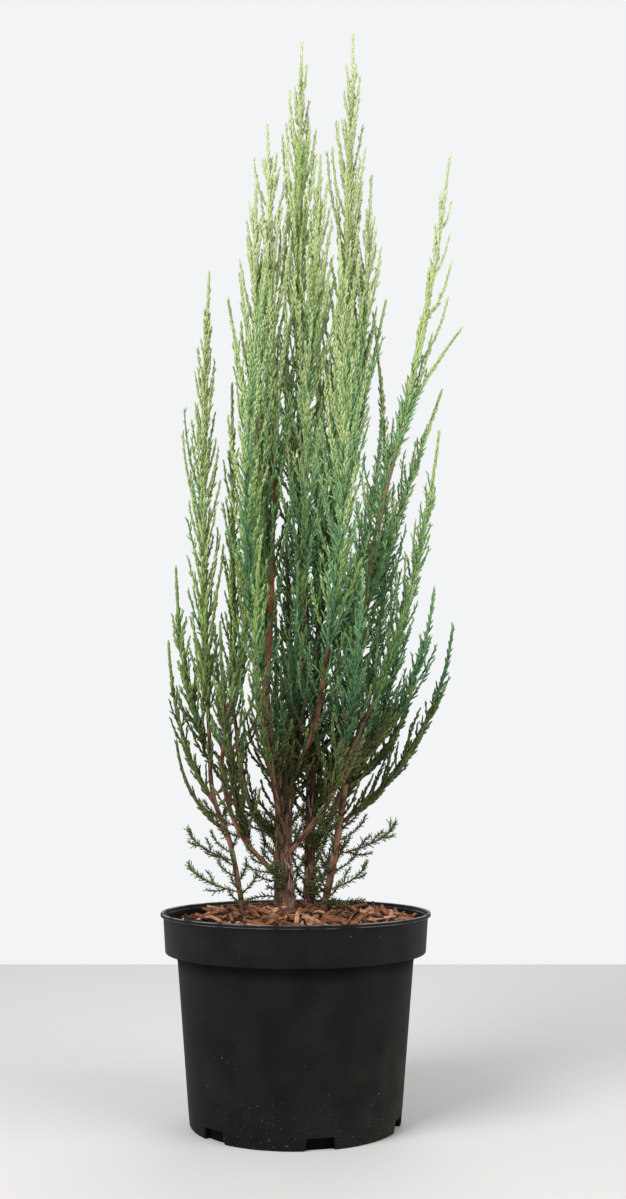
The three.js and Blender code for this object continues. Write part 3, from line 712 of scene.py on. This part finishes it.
toneCard = {
    # the darker tones low down are painted shade as well as the older foliage's own colour
    "heights": [210, 330, 450, 600, 750, 900, 1050, 1190],
    "tones": [0.18, 0.23, 0.36, 0.60, 0.90, 0.85, 0.84, 0.93],
    "caps": [0.45, 0.50, 0.65, 0.82, 0.874, 0.874, 0.90, 0.999],  # the palest tone there is at each height
    "tipGain": 0.17, "tipFade": 14.0,  # how much paler a shoot's tip is, and over what length
    "luck": 0.10, "shootLuck": 0.22, "inner": 0.10,  # chance by spray and by shoot, and less light inside
    "blueLow": 330.0, "blueHigh": 925.0, "rise": 130.0, "fade": 330.0,  # where the blue-green is
    "leftBlue": 0.30, "rightBlue": 0.66, "sides": (-60, 25),  # its share at the left and what the right adds
    "sunlit": 0.8, "freshTip": 0.35, "freshFade": 12,  # less of it on pale masses and near a shoot's tip
    "axis": 10, "topRadius": 40, "top": 1190, "widening": 0.12,  # the crown's middle and radius, top down
}


# How far the blue-green of older foliage holds at a place: none at the foot, most at the middle and to
# the right, fading into the yellow-green of new growth above.
def blueShare(place):
    t = toneCard
    rising = smoothStep(place[:, 2], t["blueLow"], t["blueLow"] + t["rise"])
    fading = 1 - smoothStep(place[:, 2], t["blueHigh"] - t["fade"], t["blueHigh"])
    return rising * fading * (t["leftBlue"] + t["rightBlue"] * smoothStep(place[:, 0], *t["sides"]))


# Sprays stand along every shoot, each a golden turn round from the last, shorter and closer to it towards
# its tip. Their tone climbs with height, towards tips and outwards, with a little chance; the darker tones
# low down and inside the crown are painted shade as well as the older foliage's own colour.
# Low ones are needled; higher up the blue-green ones are feathery and the yellow-green ones like rope.
def growSprays(shoots):
    t = toneCard
    table = {fact: np.array(values) for fact, values in sprayCard.items()}
    habit = np.where(shoots["needled"], needle, rope)
    pitch = np.where(shoots["isStem"], table["stemPitch"][habit], table["pitch"][habit])
    number = np.maximum(3, (shoots["span"] * (1 - shoots["bare"]) / pitch).astype(int))
    shoot = np.repeat(np.arange(len(number)), number)
    step = np.arange(number.sum()) - np.repeat(np.cumsum(number) - number, number)
    curve, span, onStem, needled, tint, full, bare = [
        shoots[fact][shoot] for fact in ("curve", "span", "isStem", "needled", "tint", "full", "bare")]
    share = bare + (1 - bare) * (step + 0.5) / number[shoot]
    toTip = (1 - share) * span
    foot, ahead = bend(curve, share), bendSlope(curve, share)
    blue = blueShare(foot) - t["sunlit"] * np.maximum(tint, 0)
    kind = np.where(needled, needle, np.where(chance(shoot, 17) < blue, feather, rope))
    card = {fact: values[kind] for fact, values in table.items()}
    out = turned(*across(ahead), step * goldenTurn + shoot * 1.3 + chance(shoot, step) * 0.9)
    stands = step % card["every"] == 0
    large = onStem & ~needled
    grown = 1 - np.exp(-toTip / np.where(large, stemSprays["grow"], card["grow"]))
    spread = np.where(stands, card["branchletSpread"], card["coverSpread"]) * (0.6 + 0.4 * grown)
    spread = (spread * (0.75 + 0.5 * chance(step, shoot + 3)))[:, None]
    size = np.where(stands, card["branchlet"], card["cover"]) * (0.75 + 0.25 * grown)
    size = size * np.where(large, 1 + (stemSprays["size"] - 1) * grown, 1)
    size = size * (0.7 + 0.55 * chance(step + 7, shoot)) * (0.75 + 0.25 * full)
    # how far out a spray is, as a share of the crown's radius at its height
    radius = t["topRadius"] + t["widening"] * (t["top"] - foot[:, 2])
    away = np.clip(np.hypot(foot[:, 0] - t["axis"], foot[:, 1]) / radius, 0, 1.2)
    # painted shade: darker low down and towards the crown's middle, as well as older foliage there
    tone = np.interp(foot[:, 2], t["heights"], t["tones"]) + t["tipGain"] * np.exp(-toTip / t["tipFade"])
    tone = tone + tint + t["luck"] * (chance(step * 3 + shoot, 11) - 0.5) + t["inner"] * (away - 0.7)
    tone = np.clip(tone, 0, np.interp(foot[:, 2], t["heights"], t["caps"]))
    isBlue = chance(shoot * 7, step) < 1 - t["freshTip"] * np.exp(-toTip / t["freshFade"])
    return {"foot": foot, "ahead": unit(ahead * np.cos(spread) + out * np.sin(spread)), "size": size,
            "girth": np.sqrt(size * card["cover"]), "spin": 2 * np.pi * chance(step, shoot), "kind": kind,
            "tone": tone, "isBlue": isBlue & (kind == feather)}


# The sprays of each colour are joined into pieces of a few thousand, each spray in one of nine shapes.
def makeSprays(shoots):
    sprays = growSprays(shoots)
    print(f"  {len(sprays['size'])} sprays")
    shapes = [sprayShape(kind, seed) for kind in (rope, feather, needle) for seed in turnsOfShape]
    shapeOf = np.arange(len(sprays["size"])) % 3 + 3 * sprays["kind"]
    for family, colours in greens.items():
        level = np.minimum((sprays["tone"] * len(greens["fresh"])).astype(int), len(colours) - 1)
        for index, colour in enumerate(colours):
            pick = np.flatnonzero((sprays["isBlue"] == (family == "blue")) & (level == index))
            if not len(pick):
                continue
            material = plainMaterial(f"leaf{family.capitalize()}{index}", colour, 0.6, 0.15)
            for number, lot in enumerate(np.array_split(pick, len(pick) // mostSprays + 1)):
                vertices, faces, base = [], [], 0
                for variant, shape in enumerate(shapes):
                    some = lot[shapeOf[lot] == variant]
                    placed, corners = placeSprays({key: value[some] for key, value in sprays.items()}, shape)
                    vertices.append(placed)
                    faces.append(corners + base)
                    base += len(placed)
                vertices, faces = np.concatenate(vertices), np.concatenate(faces)
                piece = addPiece(f"sprays_{family}_{index}_{number}", vertices, faces, material)
                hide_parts(*massCards)
                print(f"  {family} {index}: {len(lot)} sprays, {len(faces)} triangles")


barkCard = {
    "stripDepth": 1.5, "cellLength": 17.0,  # how far the plates stand, and their length
    "flakeDepth": 0.55, "flakeLength": 5.0, "fullRadius": 9,  # slimmer limbs than this have flatter bark
    "drift": 0.9, "driftLength": 34, "contrast": 1.7,  # how the plates wander, and how sharp the cracks are
    "mapRadius": 0.006,  # metres; the radius that the streaks' width is laid out for
    # plates round a limb, corners round it and the way between its rings
    "trunk": (9, 64, 1.3), "bough": (5, 28, 2.0),
    # cracks, plates, and the tint of younger wood higher up
    "shaggy": [(0.020, 0.010, 0.007), (0.140, 0.070, 0.047), (0.060, 0.046, 0.026)],
    "smooth": [(0.040, 0.018, 0.010), (0.250, 0.128, 0.076), (0.240, 0.205, 0.085)],
    "peeling": [(0.075, 0.025, 0.013), (0.390, 0.165, 0.085), (0.310, 0.115, 0.055)],
    "flaky": [(0.075, 0.038, 0.026), (0.330, 0.210, 0.155), (0.190, 0.130, 0.090)],
    "kinds": {"trunk": "shaggy", "second_stem": "shaggy", "left_leader": "peeling"},  # the others are smooth
    # the foot of a leading shoot is clad in bark too: over what share of it, its radii there, and which
    "clad": {"left_leader_top": (0.40, [4.0, 1.6], "peeling"), "right_top": (0.34, [3.2, 1.8], "smooth"),
             "crown_tip": (0.3, [1.9, 1.3], "shaggy")},
}


# Fibrous bark: streaks of noise stretched along the limb, dark in the cracks and pale on the plates.
def barkMaterial(kind):
    dark, pale, aloft = barkCard[kind]
    material = plainMaterial(kind + "Bark", pale, 0.88, 0.2)
    tree = material.node_tree
    place = addNode(tree, "UVMap")[0]
    stretched = addNode(tree, "Mapping", {"Vector": place, "Scale": (1.0, 0.14, 1.0)})[0]
    fibres = noise(tree, stretched, 620.0, 6.0, 0.65)
    blotches = noise(tree, place, 95.0, 3.0)
    crack = addNode(tree, "Attribute", attribute_name="crack")["Fac"]  # 0 in a crack, 1 on a plate
    level = worked(tree, "MULTIPLY_ADD", blotches, 0.30, worked(tree, "MULTIPLY", crack, 0.42))
    level = worked(tree, "MULTIPLY_ADD", fibres, 0.55, level)
    height = addNode(tree, "SeparateXYZ", {"Vector": addNode(tree, "TexCoord")["Object"]})["Z"]
    young = ranged(tree, height, 0.42, 0.62, 0.8)
    toShader(tree, "Base Color", blend(tree, young, ramp(tree, level, 0.40, dark, 0.86, pale), aloft))
    addBump(tree, fibres, 0.0007, 0.7)
    return material


# The limbs in their bark, then the clad feet of leading shoots, then the loose flakes.
def makeBark():
    barks = {kind: barkMaterial(kind) for kind in ("shaggy", "smooth", "peeling", "flaky")}
    for order, (name, limb) in enumerate(limbs.items()):
        piece = addLimb(name, limb, order, barks[barkCard["kinds"].get(name, "smooth")])
        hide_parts(name)
    for order, (name, (share, radii, kind)) in enumerate(barkCard["clad"].items()):
        line = evenLine(stems[name]["line"][:int(share * stemPoints)], limbPoints)
        limb = {"line": line, "radii": np.linspace(*radii, limbPoints)}
        piece = addLimb(name, limb, order + 20, barks[kind])
        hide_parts(name)
    makeFlakes(barks["flaky"])


# A limb's skin: its line carried round by an angle. Ridges are noise folded at its middle, so plates
# part along sharp cracks; the noise drifts round as it climbs, and finer flakes lie over it.
def addLimb(name, limb, order, material):
    b = barkCard
    strips, sides, ringStep = b["trunk" if name == "trunk" else "bough"]
    rings = int(runLengths(limb["line"])[-1] / ringStep)
    line = evenLine(limb["line"], rings)
    radius = np.interp(np.linspace(0, 1, rings), np.linspace(0, 1, limbPoints), limb["radii"])
    keep = line[:, 2] > groundHeight - 8  # the feet stand a little in the mix
    line, radius = line[keep], radius[keep]
    slope = unit(np.gradient(line, axis=0))
    first, second = across(slope)
    angle = np.arange(sides) * 2 * np.pi / sides
    run = runLengths(line)[:, None]
    around = np.broadcast_to(angle / (2 * np.pi), (len(line), sides))
    drift = b["drift"] * valueNoise(around * 3, run / b["driftLength"], 3, order + 40)
    plate = valueNoise(around * strips + drift, run / b["cellLength"], strips, order)
    crack = np.clip(np.abs(2 * plate - 1) * b["contrast"], 0, 1)
    flakes = valueNoise(around * 4 * strips, run / b["flakeLength"], 4 * strips, order + 20)
    thick = np.minimum(1, (radius / b["fullRadius"]) ** 1.3)[:, None]
    lift = thick * (b["stripDepth"] * (crack - 0.6) + 2 * b["flakeDepth"] * (flakes - 0.5))
    ring = turned(first[:, None], second[:, None], angle)
    skin = line[:, None] + ring * (radius[:, None] + lift)[:, :, None]
    vertices = np.concatenate([skin.reshape(-1, 3), [line[0], line[-1] + slope[-1]]])
    # the map runs round and back, so that no seam shows where the two edges meet
    girth = 2 * np.pi * b["mapRadius"]
    uv = np.stack([girth * np.abs(2 * around - 1), np.broadcast_to(run / 1000, around.shape)], -1)
    uv = np.concatenate([uv.reshape(-1, 2), [[0, 0], [0, run[-1, 0] / 1000]]]) + [0.37 * order, 0.21 * order]
    return addPiece(name + "_bark", vertices, tubeFaces(len(line), sides), material, uv=uv,
                    crack=[*crack.ravel(), 0.5, 0.5])


flakeCard = {
    "count": 420, "length": 9.0, "width": 2.0, "thickness": 0.35, "lift": 1.9,
    "top": 380.0, "onTrunk": 0.72,  # up to this height, and this share of them on the trunk
    "sections": [0, 0.35, 0.7, 1.0], "widths": [0.8, 1.0, 0.9, 0.35],  # places along it, its width there
}


# Loose strips of bark on the old wood: each a thin closed band of four cross-sections along the limb,
# held at one end and curling away from it by the square of its length.
def makeFlakes(material):
    f = flakeCard
    k = np.arange(f["count"])
    onTrunk = chance(k, 60) < f["onTrunk"]
    height = groundHeight + 3 + (f["top"] - groundHeight) * chance(k, 61) ** 1.2
    foot, radius, slope = np.zeros((len(k), 3)), np.zeros(len(k)), np.zeros((len(k), 3))
    for some, limb in ((onTrunk, limbs["trunk"]), (~onTrunk, limbs["second_stem"])):
        line = limb["line"]
        foot[some] = rowsAt(height[some], line[:, 2], line)
        slope[some] = unit(rowsAt(height[some], line[:, 2], unit(np.gradient(line, axis=0))))
        radius[some] = np.interp(height[some], line[:, 2], limb["radii"])
    out = turned(*across(slope), 2 * np.pi * chance(k, 62))
    aslant = np.cross(slope, out) * (0.5 * (chance(k, 64) - 0.5))[:, None]
    along = unit(slope * np.where(chance(k, 63) < 0.6, 1, -1)[:, None] + aslant)  # some stand, some hang
    side = np.cross(along, out)
    long, wide = f["length"] * (0.4 + chance(k, 65)), f["width"] * (0.5 + chance(k, 66))
    t = np.array(f["sections"])
    curl = f["lift"] * (0.3 + chance(k, 67))[:, None] * t[None] ** 2
    middle = foot[:, None] + out[:, None] * (radius[:, None] + 0.2 + curl)[..., None]
    middle = middle + along[:, None] * (long[:, None] * t)[..., None]
    aside = side[:, None] * (0.5 * wide[:, None] * np.array(f["widths"]))[..., None]
    above = out[:, None] * 0.5 * f["thickness"]
    skin = np.stack([middle - aside - above, middle + aside - above, middle + aside + above,
                     middle - aside + above], 2)
    size = 4 * len(t)
    u = np.repeat(chance(k, 68), size)
    v = np.tile(np.repeat(t, 4) * 0.012, len(k)) + np.repeat(chance(k, 69), size)
    piece = addPiece("bark_flakes", skin, repeated(barFaces(len(t)), len(k), size), material, smooth=False,
                     uv=np.stack([u, v], 1), crack=np.repeat(0.3 + 0.7 * chance(k, 70), size))
    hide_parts("trunk", "second_stem")


potCard = {
    "height": 210.5, "wall": 2.2, "floor": 2.5, "footRadius": 107.6, "bodyTopRadius": 121.8,
    "collarBottom": 170.0, "collarBottomRadius": 134.5, "collarTopRadius": 137.2,
    "lipRadius": 140.0, "lipHeight": 4.0,
    "pockets": 6, "firstTurn": -76.5, "pocketWidth": 28.0, "pocketHeight": 12.0, "pocketEnd": 102.0,
    "around": 720,
}


# Rounds the corners of a profile: each corner becomes a bend of a few points between its two sides.
def roundedProfile(corners, steps=5):
    points = [np.array(corners[0][:2], dtype=float)]
    for before, here, after in zip(corners, corners[1:], corners[2:]):
        p, radius = np.array(here[:2], dtype=float), here[2]
        start = p + unit(np.array(before[:2]) - p) * radius
        end = p + unit(np.array(after[:2]) - p) * radius
        t = np.linspace(0, 1, steps)[:, None]
        points.extend(start * (1 - t) ** 2 + p * 2 * t * (1 - t) + end * t**2)
    points.append(np.array(corners[-1][:2], dtype=float))
    return np.array(points)


# The pot's profile, from the middle of its underside up the outside, over the lip and down the inside to
# the middle of its floor, carried round. In each pocket the foot rises to the pocket's roof.
def makePot():
    p = potCard
    step, top, wall, floor = p["collarBottom"], p["height"], p["wall"], p["floor"]
    foot, body, collar = p["footRadius"], p["bodyTopRadius"], p["collarBottomRadius"]
    rim, edge, lip = p["collarTopRadius"], p["lipRadius"], top - p["lipHeight"]
    end, roof = p["pocketEnd"], p["pocketHeight"]
    profile = roundedProfile([
        (0.01, 0, 0), (end - 1, 0, 0.1), (end, 0, 0.1), (foot - 0.4, 0, 2.5), (foot + 0.9, roof, 0.5),
        (foot + 1.2, roof + 3, 0.5), (body, step - 8, 2.5), (body + 2, step - 1.5, 1.2), (collar, step, 1.6),
        (rim, lip, 0.3), (edge, lip + 0.3, 0.5), (edge, top, 1.4), (rim - 0.6, top - 0.4, 1.2),
        (rim - wall, lip - 3, 1), (collar - wall, step + 2.4, 2), (body - wall, step + 1, 1),
        (foot - wall, floor, 2), (end - wall, floor, 0.1), (end - wall - 1, floor, 0.1), (0.01, floor, 0),
    ])
    turn = np.arange(p["around"]) * 2 * np.pi / p["around"]
    radius, height = profile[:, :1] + 0 * turn, profile[:, 1:] + 0 * turn
    apart = 2 * np.pi / p["pockets"]
    away = (turn - math.radians(p["firstTurn"]) + apart / 2) % apart - apart / 2
    inner = (np.arange(len(profile)) > np.argmax(profile[:, 1]))[:, None]
    rise = np.where(inner, wall, 0)  # the skin inside the pot rises by the wall more
    half = p["pocketWidth"] / 2 + rise
    inPocket = 1 - smoothStep(np.abs(away)[None] * np.maximum(radius, end), half - 0.5, half + 0.4)
    height = np.where(radius >= end - rise - 0.2, np.maximum(height, inPocket * (roof + rise)), height)
    skin = np.stack([radius * np.cos(turn), radius * np.sin(turn), height], -1)
    vertices = np.concatenate([skin.reshape(-1, 3), [[0, 0, 0], [0, 0, floor]]])
    piece = addPiece("pot_moulded", vertices, tubeFaces(len(profile), p["around"]), potPlastic())
    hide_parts("pot")


plasticCard = {
    # the third colour here is painted shade, darker than the black plastic, for the insides of the pockets
    "specular": 0.14, "black": (0.0022, 0.0027, 0.0028), "paintedPocketShade": (0.0006, 0.0006, 0.0005),
    # the pale colour and the heights below paint highlights along both edges of the lip, with some wear
    "lipHighlightAndWear": (0.200, 0.195, 0.185), "lipHighlightHeights": (0.2067, 0.2101),  # metres, both edges of the lip
    # each layer of dirt: its noise's scale and detail, the noise where it starts and where it is full, how
    # far it covers, and its colour
    "layers": {
        "film": (26.0, 9.0, 0.38, 0.66, 0.7, (0.0095, 0.0100, 0.0088)),
        "bloom": (34.0, 6.0, 0.42, 0.72, 0.6, (0.040, 0.037, 0.018)),
        "grit": (620.0, 1.0, 0.73, 0.77, 0.9, (0.24, 0.22, 0.17)),
        "lint": (300.0, 1.0, 0.80, 0.82, 0.7, (0.24, 0.22, 0.17)),
    },
}


# Matt black plastic: a fine moulded grain, a thin film of dust in soft patches, an olive bloom low on
# one side, pale specks of grit thrown up near the foot, painted highlights with some wear as pale lines
# along both edges of the lip, and painted shade inside the pockets.
def potPlastic():
    p = plasticCard
    material = plainMaterial("nurseryPlastic", p["black"], 0.5, p["specular"])
    tree = material.node_tree
    place = addNode(tree, "TexCoord")["Object"]
    x, y, z = addNode(tree, "SeparateXYZ", {"Vector": place})
    grain = noise(tree, place, 900.0, 2.0)
    limits = {"film": [ranged(tree, grain, 0.25, 0.65, 1.3)], "grit": [ranged(tree, z, 0.06, 0.0, 1.0)],
              "bloom": [ranged(tree, z, 0.12, 0.0, 1.0), ranged(tree, x, 0.02, 0.11, 1.0)], "lint": []}
    colour = p["black"]
    for layer, (scale, detail, start, full, cover, tint) in p["layers"].items():
        factor = ranged(tree, noise(tree, place, scale, detail), start, full, cover)
        for limit in limits[layer]:
            factor = worked(tree, "MULTIPLY", factor, limit)
        colour = blend(tree, factor, colour, tint)
    # painted highlights with some wear: pale lines along both edges of the lip, broken up by noise
    lipPatches = ranged(tree, noise(tree, place, 48.0, 3.0), 0.34, 0.56, 1.0)
    for height in p["lipHighlightHeights"]:
        rising = ranged(tree, z, height - 0.0008, height, 1.0)
        falling = ranged(tree, z, height + 0.0008, height, 1.0)
        edge = worked(tree, "MULTIPLY", worked(tree, "MULTIPLY", rising, falling), lipPatches)
        colour = blend(tree, edge, colour, p["lipHighlightAndWear"])
    # painted shade: a near black colour inside the pockets, and duller there and under the collar, where
    # little light comes
    foot, roof, step = [potCard[part] / 1000 for part in ("footRadius", "pocketHeight", "collarBottom")]
    flat = addNode(tree, "CombineXYZ", {"X": x, "Y": y})[0]
    radius = addNode(tree, "VectorMath", {0: flat}, operation="LENGTH")["Value"]
    outside = ranged(tree, radius, foot - 0.0035, foot - 0.002, 1.0)
    inLight = worked(tree, "MAXIMUM", outside, ranged(tree, z, roof, roof + 0.001, 1.0))
    toShader(tree, "Base Color", blend(tree, inLight, p["paintedPocketShade"], colour))
    below = ranged(tree, z, step - 0.002, step - 0.016, 0.75)
    lit = worked(tree, "ADD", below, ranged(tree, z, step - 0.0005, step + 0.001, 1.0), clamp=True)
    dull = ranged(tree, worked(tree, "MULTIPLY", inLight, lit), 0.0, 1.0, 0.0, 0.5)
    rough = ranged(tree, grain, 0.0, 1.0, 0.62, 0.40)
    toShader(tree, "Roughness", worked(tree, "ADD", rough, dull, clamp=True))
    addBump(tree, grain, 0.0003, 0.5)
    return material


mixCard = {
    "edgeHeight": 196.0, "moundHeight": 206.0, "moundRadius": 78.0, "lumps": 2.2, "rings": 70, "around": 220,
    "dip": 9.0, "dipStart": 70.0, "dipEnd": 125.0,  # how far the left side lies lower
    "backDip": 6.0, "backStart": 10.0, "backEnd": 90.0,  # and the back
    "base": 15.0,  # its underside, inside the pot
    "colours": [(0.05, 0.028, 0.02), (0.010, 0.006, 0.004), (0.085, 0.042, 0.025)],  # plain, dark and pale
}
chipCard = {
    "count": 470, "shortest": 11.0, "longest": 48.0, "width": 4.5, "thickness": 2.6,
    "radius": 131.0, "heap": 7.5,  # how far from the axis they lie, and how high on each other
    "roll": 2.4, "pitch": 1.4, "flatter": 22,  # radians in all; longer ones than this pitch less
    "sections": [-0.5, 0.05, 0.5], "narrow": [0.7, 1.0, 0.45],  # places along one, and its width there
    # each colour and which of ten chips have it
    "colours": {"red": ((0.200, 0.078, 0.036), 0, 5), "brown": ((0.085, 0.038, 0.020), 5, 7),
                "pale": ((0.400, 0.205, 0.115), 7, 9), "dark": ((0.022, 0.012, 0.008), 9, 10)},
}


# Crumbs or torn bark: noise runs from a dark to a pale colour and is the height of the bumps too.
def crumbly(name, colours, roughness, specular, scale, detail, low, high, depth):
    colour, dark, pale = colours
    material = plainMaterial(name, colour, roughness, specular)
    tree = material.node_tree
    crumbs = noise(tree, addNode(tree, "TexCoord")["Object"], scale, detail)
    toShader(tree, "Base Color", ramp(tree, crumbs, low, dark, high, pale))
    addBump(tree, crumbs, depth)
    return material


# The mound's height at a distance from the axis, with lumps by value noise; low at the left and the back.
def moundAt(x, y):
    m = mixCard
    away = np.hypot(x, y)
    fall = np.clip((away - m["moundRadius"]) / (potCard["collarTopRadius"] - m["moundRadius"]), 0, 1)
    lumps = valueNoise(x / 9 + 40, y / 9 + 40, 1e6, 3)
    lumps = lumps + 0.5 * valueNoise(x / 4 + 90, y / 4 + 90, 1e6, 5) - 0.75
    dip = m["dip"] * smoothStep(-x, m["dipStart"], m["dipEnd"])
    dip = dip + m["backDip"] * smoothStep(y, m["backStart"], m["backEnd"])
    return m["moundHeight"] - fall * (m["moundHeight"] - m["edgeHeight"]) - dip + m["lumps"] * lumps


# The mound's rings from the rim in to the axis, on a skirt that goes down inside the pot and closes on
# the axis, so the mix is a whole body.
def makeMix():
    m, p = mixCard, potCard
    turn = np.arange(m["around"]) * 2 * np.pi / m["around"]
    radius = np.linspace(0.001, 1, m["rings"])[:, None] * (p["collarTopRadius"] - p["wall"] - 1.2) + 0 * turn
    x, y = radius * np.cos(turn), radius * np.sin(turn)
    top = np.stack([x, y, moundAt(x, y)], -1)
    collar, step = p["collarBottomRadius"], p["collarBottom"]
    wide = np.array([[collar - 3.6], [p["bodyTopRadius"] - 3.2], [p["footRadius"] - 3.2], [0.1]])
    high = np.array([[step + 4], [step - 1], [m["base"]], [m["base"]]])
    skirt = np.stack([wide * np.cos(turn), wide * np.sin(turn), high + 0 * turn], -1)
    skin = np.concatenate([top, skirt])[::-1]
    ends = [[0, 0, m["base"]], [0, 0, moundAt(np.array(0.0), np.array(0.0))]]
    material = crumbly("pottingMix", m["colours"], 0.95, 0.2, 260.0, 6.0, 0.35, 0.72, 0.002)
    vertices = np.concatenate([skin.reshape(-1, 3), ends])
    piece = addPiece("potting_mix_mound", vertices, tubeFaces(len(skin), m["around"]), material)
    for each in [piece, *makeChips()]:
        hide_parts("potting_mix")


# Bark chips: each a small block, split thin at one end, turned three ways and laid on the mound.
def makeChips():
    c = chipCard
    k = np.arange(c["count"])
    radius, turn = c["radius"] * np.sqrt((k + 0.5) / c["count"]), k * goldenTurn
    x, y = radius * np.cos(turn), radius * np.sin(turn)
    clear = np.ones(len(k), dtype=bool)
    for limb in limbs.values():
        foot = limb["line"][0]
        clear &= np.hypot(x - foot[0], y - foot[1]) > limb["radii"][0] + 4
    long = c["shortest"] + (c["longest"] - c["shortest"]) * chance(k, 1) ** 1.5
    wide = c["width"] * (0.5 + 0.9 * chance(k, 2))
    thick = c["thickness"] * (0.5 + 0.9 * chance(k, 3))
    # a block of three cross-sections, its middle one bowed and its ends narrowed
    narrow = np.array(c["narrow"])[:, None]
    aside, above = np.array([[-0.5, 0.5, 0.5, -0.5], [-0.5, -0.5, 0.5, 0.5]])
    block = [np.repeat(c["sections"], 4), (narrow * aside).ravel(), (narrow**0.5 * above).ravel()]
    points = np.stack(block, 1)[None] * np.stack([long, wide, thick], 1)[:, None]
    points[:, 4:8, 2] += 0.08 * (long * (chance(k, 8) - 0.3))[:, None]
    roll = c["roll"] * (chance(k, 4) - 0.5)
    pitch = c["pitch"] * (chance(k, 5) - 0.5) * np.minimum(1, c["flatter"] / long)
    yaw = 2 * np.pi * chance(k, 6)
    for angle, (a, b) in ((roll, (1, 2)), (pitch, (2, 0)), (yaw, (0, 1))):
        cosine, sine = np.cos(angle)[:, None], np.sin(angle)[:, None]
        pa, pb = points[..., a].copy(), points[..., b].copy()
        points[..., a], points[..., b] = pa * cosine - pb * sine, pa * sine + pb * cosine
    points += np.stack([x, y, moundAt(x, y) + 0.6 + c["heap"] * chance(k, 7) ** 1.5], 1)[:, None]
    reach = np.hypot(points[..., 0], points[..., 1]).max(1)
    clear &= reach < potCard["collarTopRadius"] - potCard["wall"] - 1
    deal = (chance(k, 9) * 10).astype(int)
    pieces = []
    for kind, (colour, low, high) in c["colours"].items():
        some = np.flatnonzero(clear & (deal >= low) & (deal < high))
        colours = [colour, [v * 0.45 for v in colour], [min(1, v * 1.35) for v in colour]]
        material = crumbly(f"chip{kind.capitalize()}", colours, 0.85, 0.25, 330.0, 4.0, 0.3, 0.68, 0.001)
        faces = repeated(barFaces(len(c["sections"])), len(some), points.shape[1])
        piece = addPiece(f"bark_chips_{kind}", points[some], faces, material, smooth=False)
        pieces.append(piece)
    return pieces


studioCard = {
    "floorSize": 6.0, "floorBack": 1.17,  # metres; the floor ends where the wall stands in the photograph
    "floorColour": (0.60, 0.585, 0.57), "sky": (0.97, 0.985, 1.0), "skyStrength": 0.92, "skyLight": 0.45,
    "aim": 0.55,  # the height in metres that the lamps point at
    "lamps": {"keyLamp": ((-1.6, -1.9, 2.3), 1.6, 105), "fillLamp": ((2.0, -1.4, 1.5), 2.0, 46),
              "backLamp": ((0.3, 2.2, 2.2), 1.8, 26)},  # place, size in metres and power in watts
}


# A pale floor, a pale sky and three soft square lamps, each turned to the plant's middle.
def makeStudio():
    s = studioCard
    half, back = s["floorSize"] / 2, s["floorBack"]
    corners = [(-half, -half, 0), (half, -half, 0), (half, back, 0), (-half, back, 0)]
    mesh = bpy.data.meshes.new("floor")
    mesh.from_pydata(corners, [], [(0, 1, 2, 3)])
    mesh.materials.append(plainMaterial("paleFloor", s["floorColour"], 0.8, 0.2))
    floor = bpy.data.objects.new("floor", mesh)
    bpy.context.scene.collection.objects.link(floor)
    world = bpy.data.worlds.new("studio")
    world.use_nodes = True
    tree = world.node_tree
    tree.nodes["Background"].inputs["Color"].default_value = (*s["sky"], 1)
    # the backdrop looks bright and lights the plant a little less, as a lit wall a way behind it does
    seen = addNode(tree, "LightPath")["Is Camera Ray"]
    level = ranged(tree, seen, 0.0, 1.0, s["skyStrength"], s["skyLight"])
    tree.links.new(level, tree.nodes["Background"].inputs["Strength"])
    bpy.context.scene.world = world
    bpy.context.scene.view_settings.view_transform = "Standard"
    for name, (place, size, power) in s["lamps"].items():
        data = bpy.data.lights.new(name, "AREA")
        data.size = size
        data.energy = power
        light = bpy.data.objects.new(name, data)
        light.location = place
        x, y, z = np.array([0, 0, s["aim"]]) - np.array(place)
        light.rotation_euler = (math.atan2(math.hypot(x, y), -z), 0, math.atan2(-x, y))
        bpy.context.scene.collection.objects.link(light)


makeCamera()
print("camera placed")
growLimbs()
growStems()
markSpace()
print("limbs and stems drawn")
shoots = gatherShoots()
makeTwigs(shoots)
makeSprays(shoots)
print("foliage grown")
makeBark()
print("bark laid on the limbs")
makePot()
makeMix()
print("pot, mix and chips made")
makeStudio()
print("studio lit")
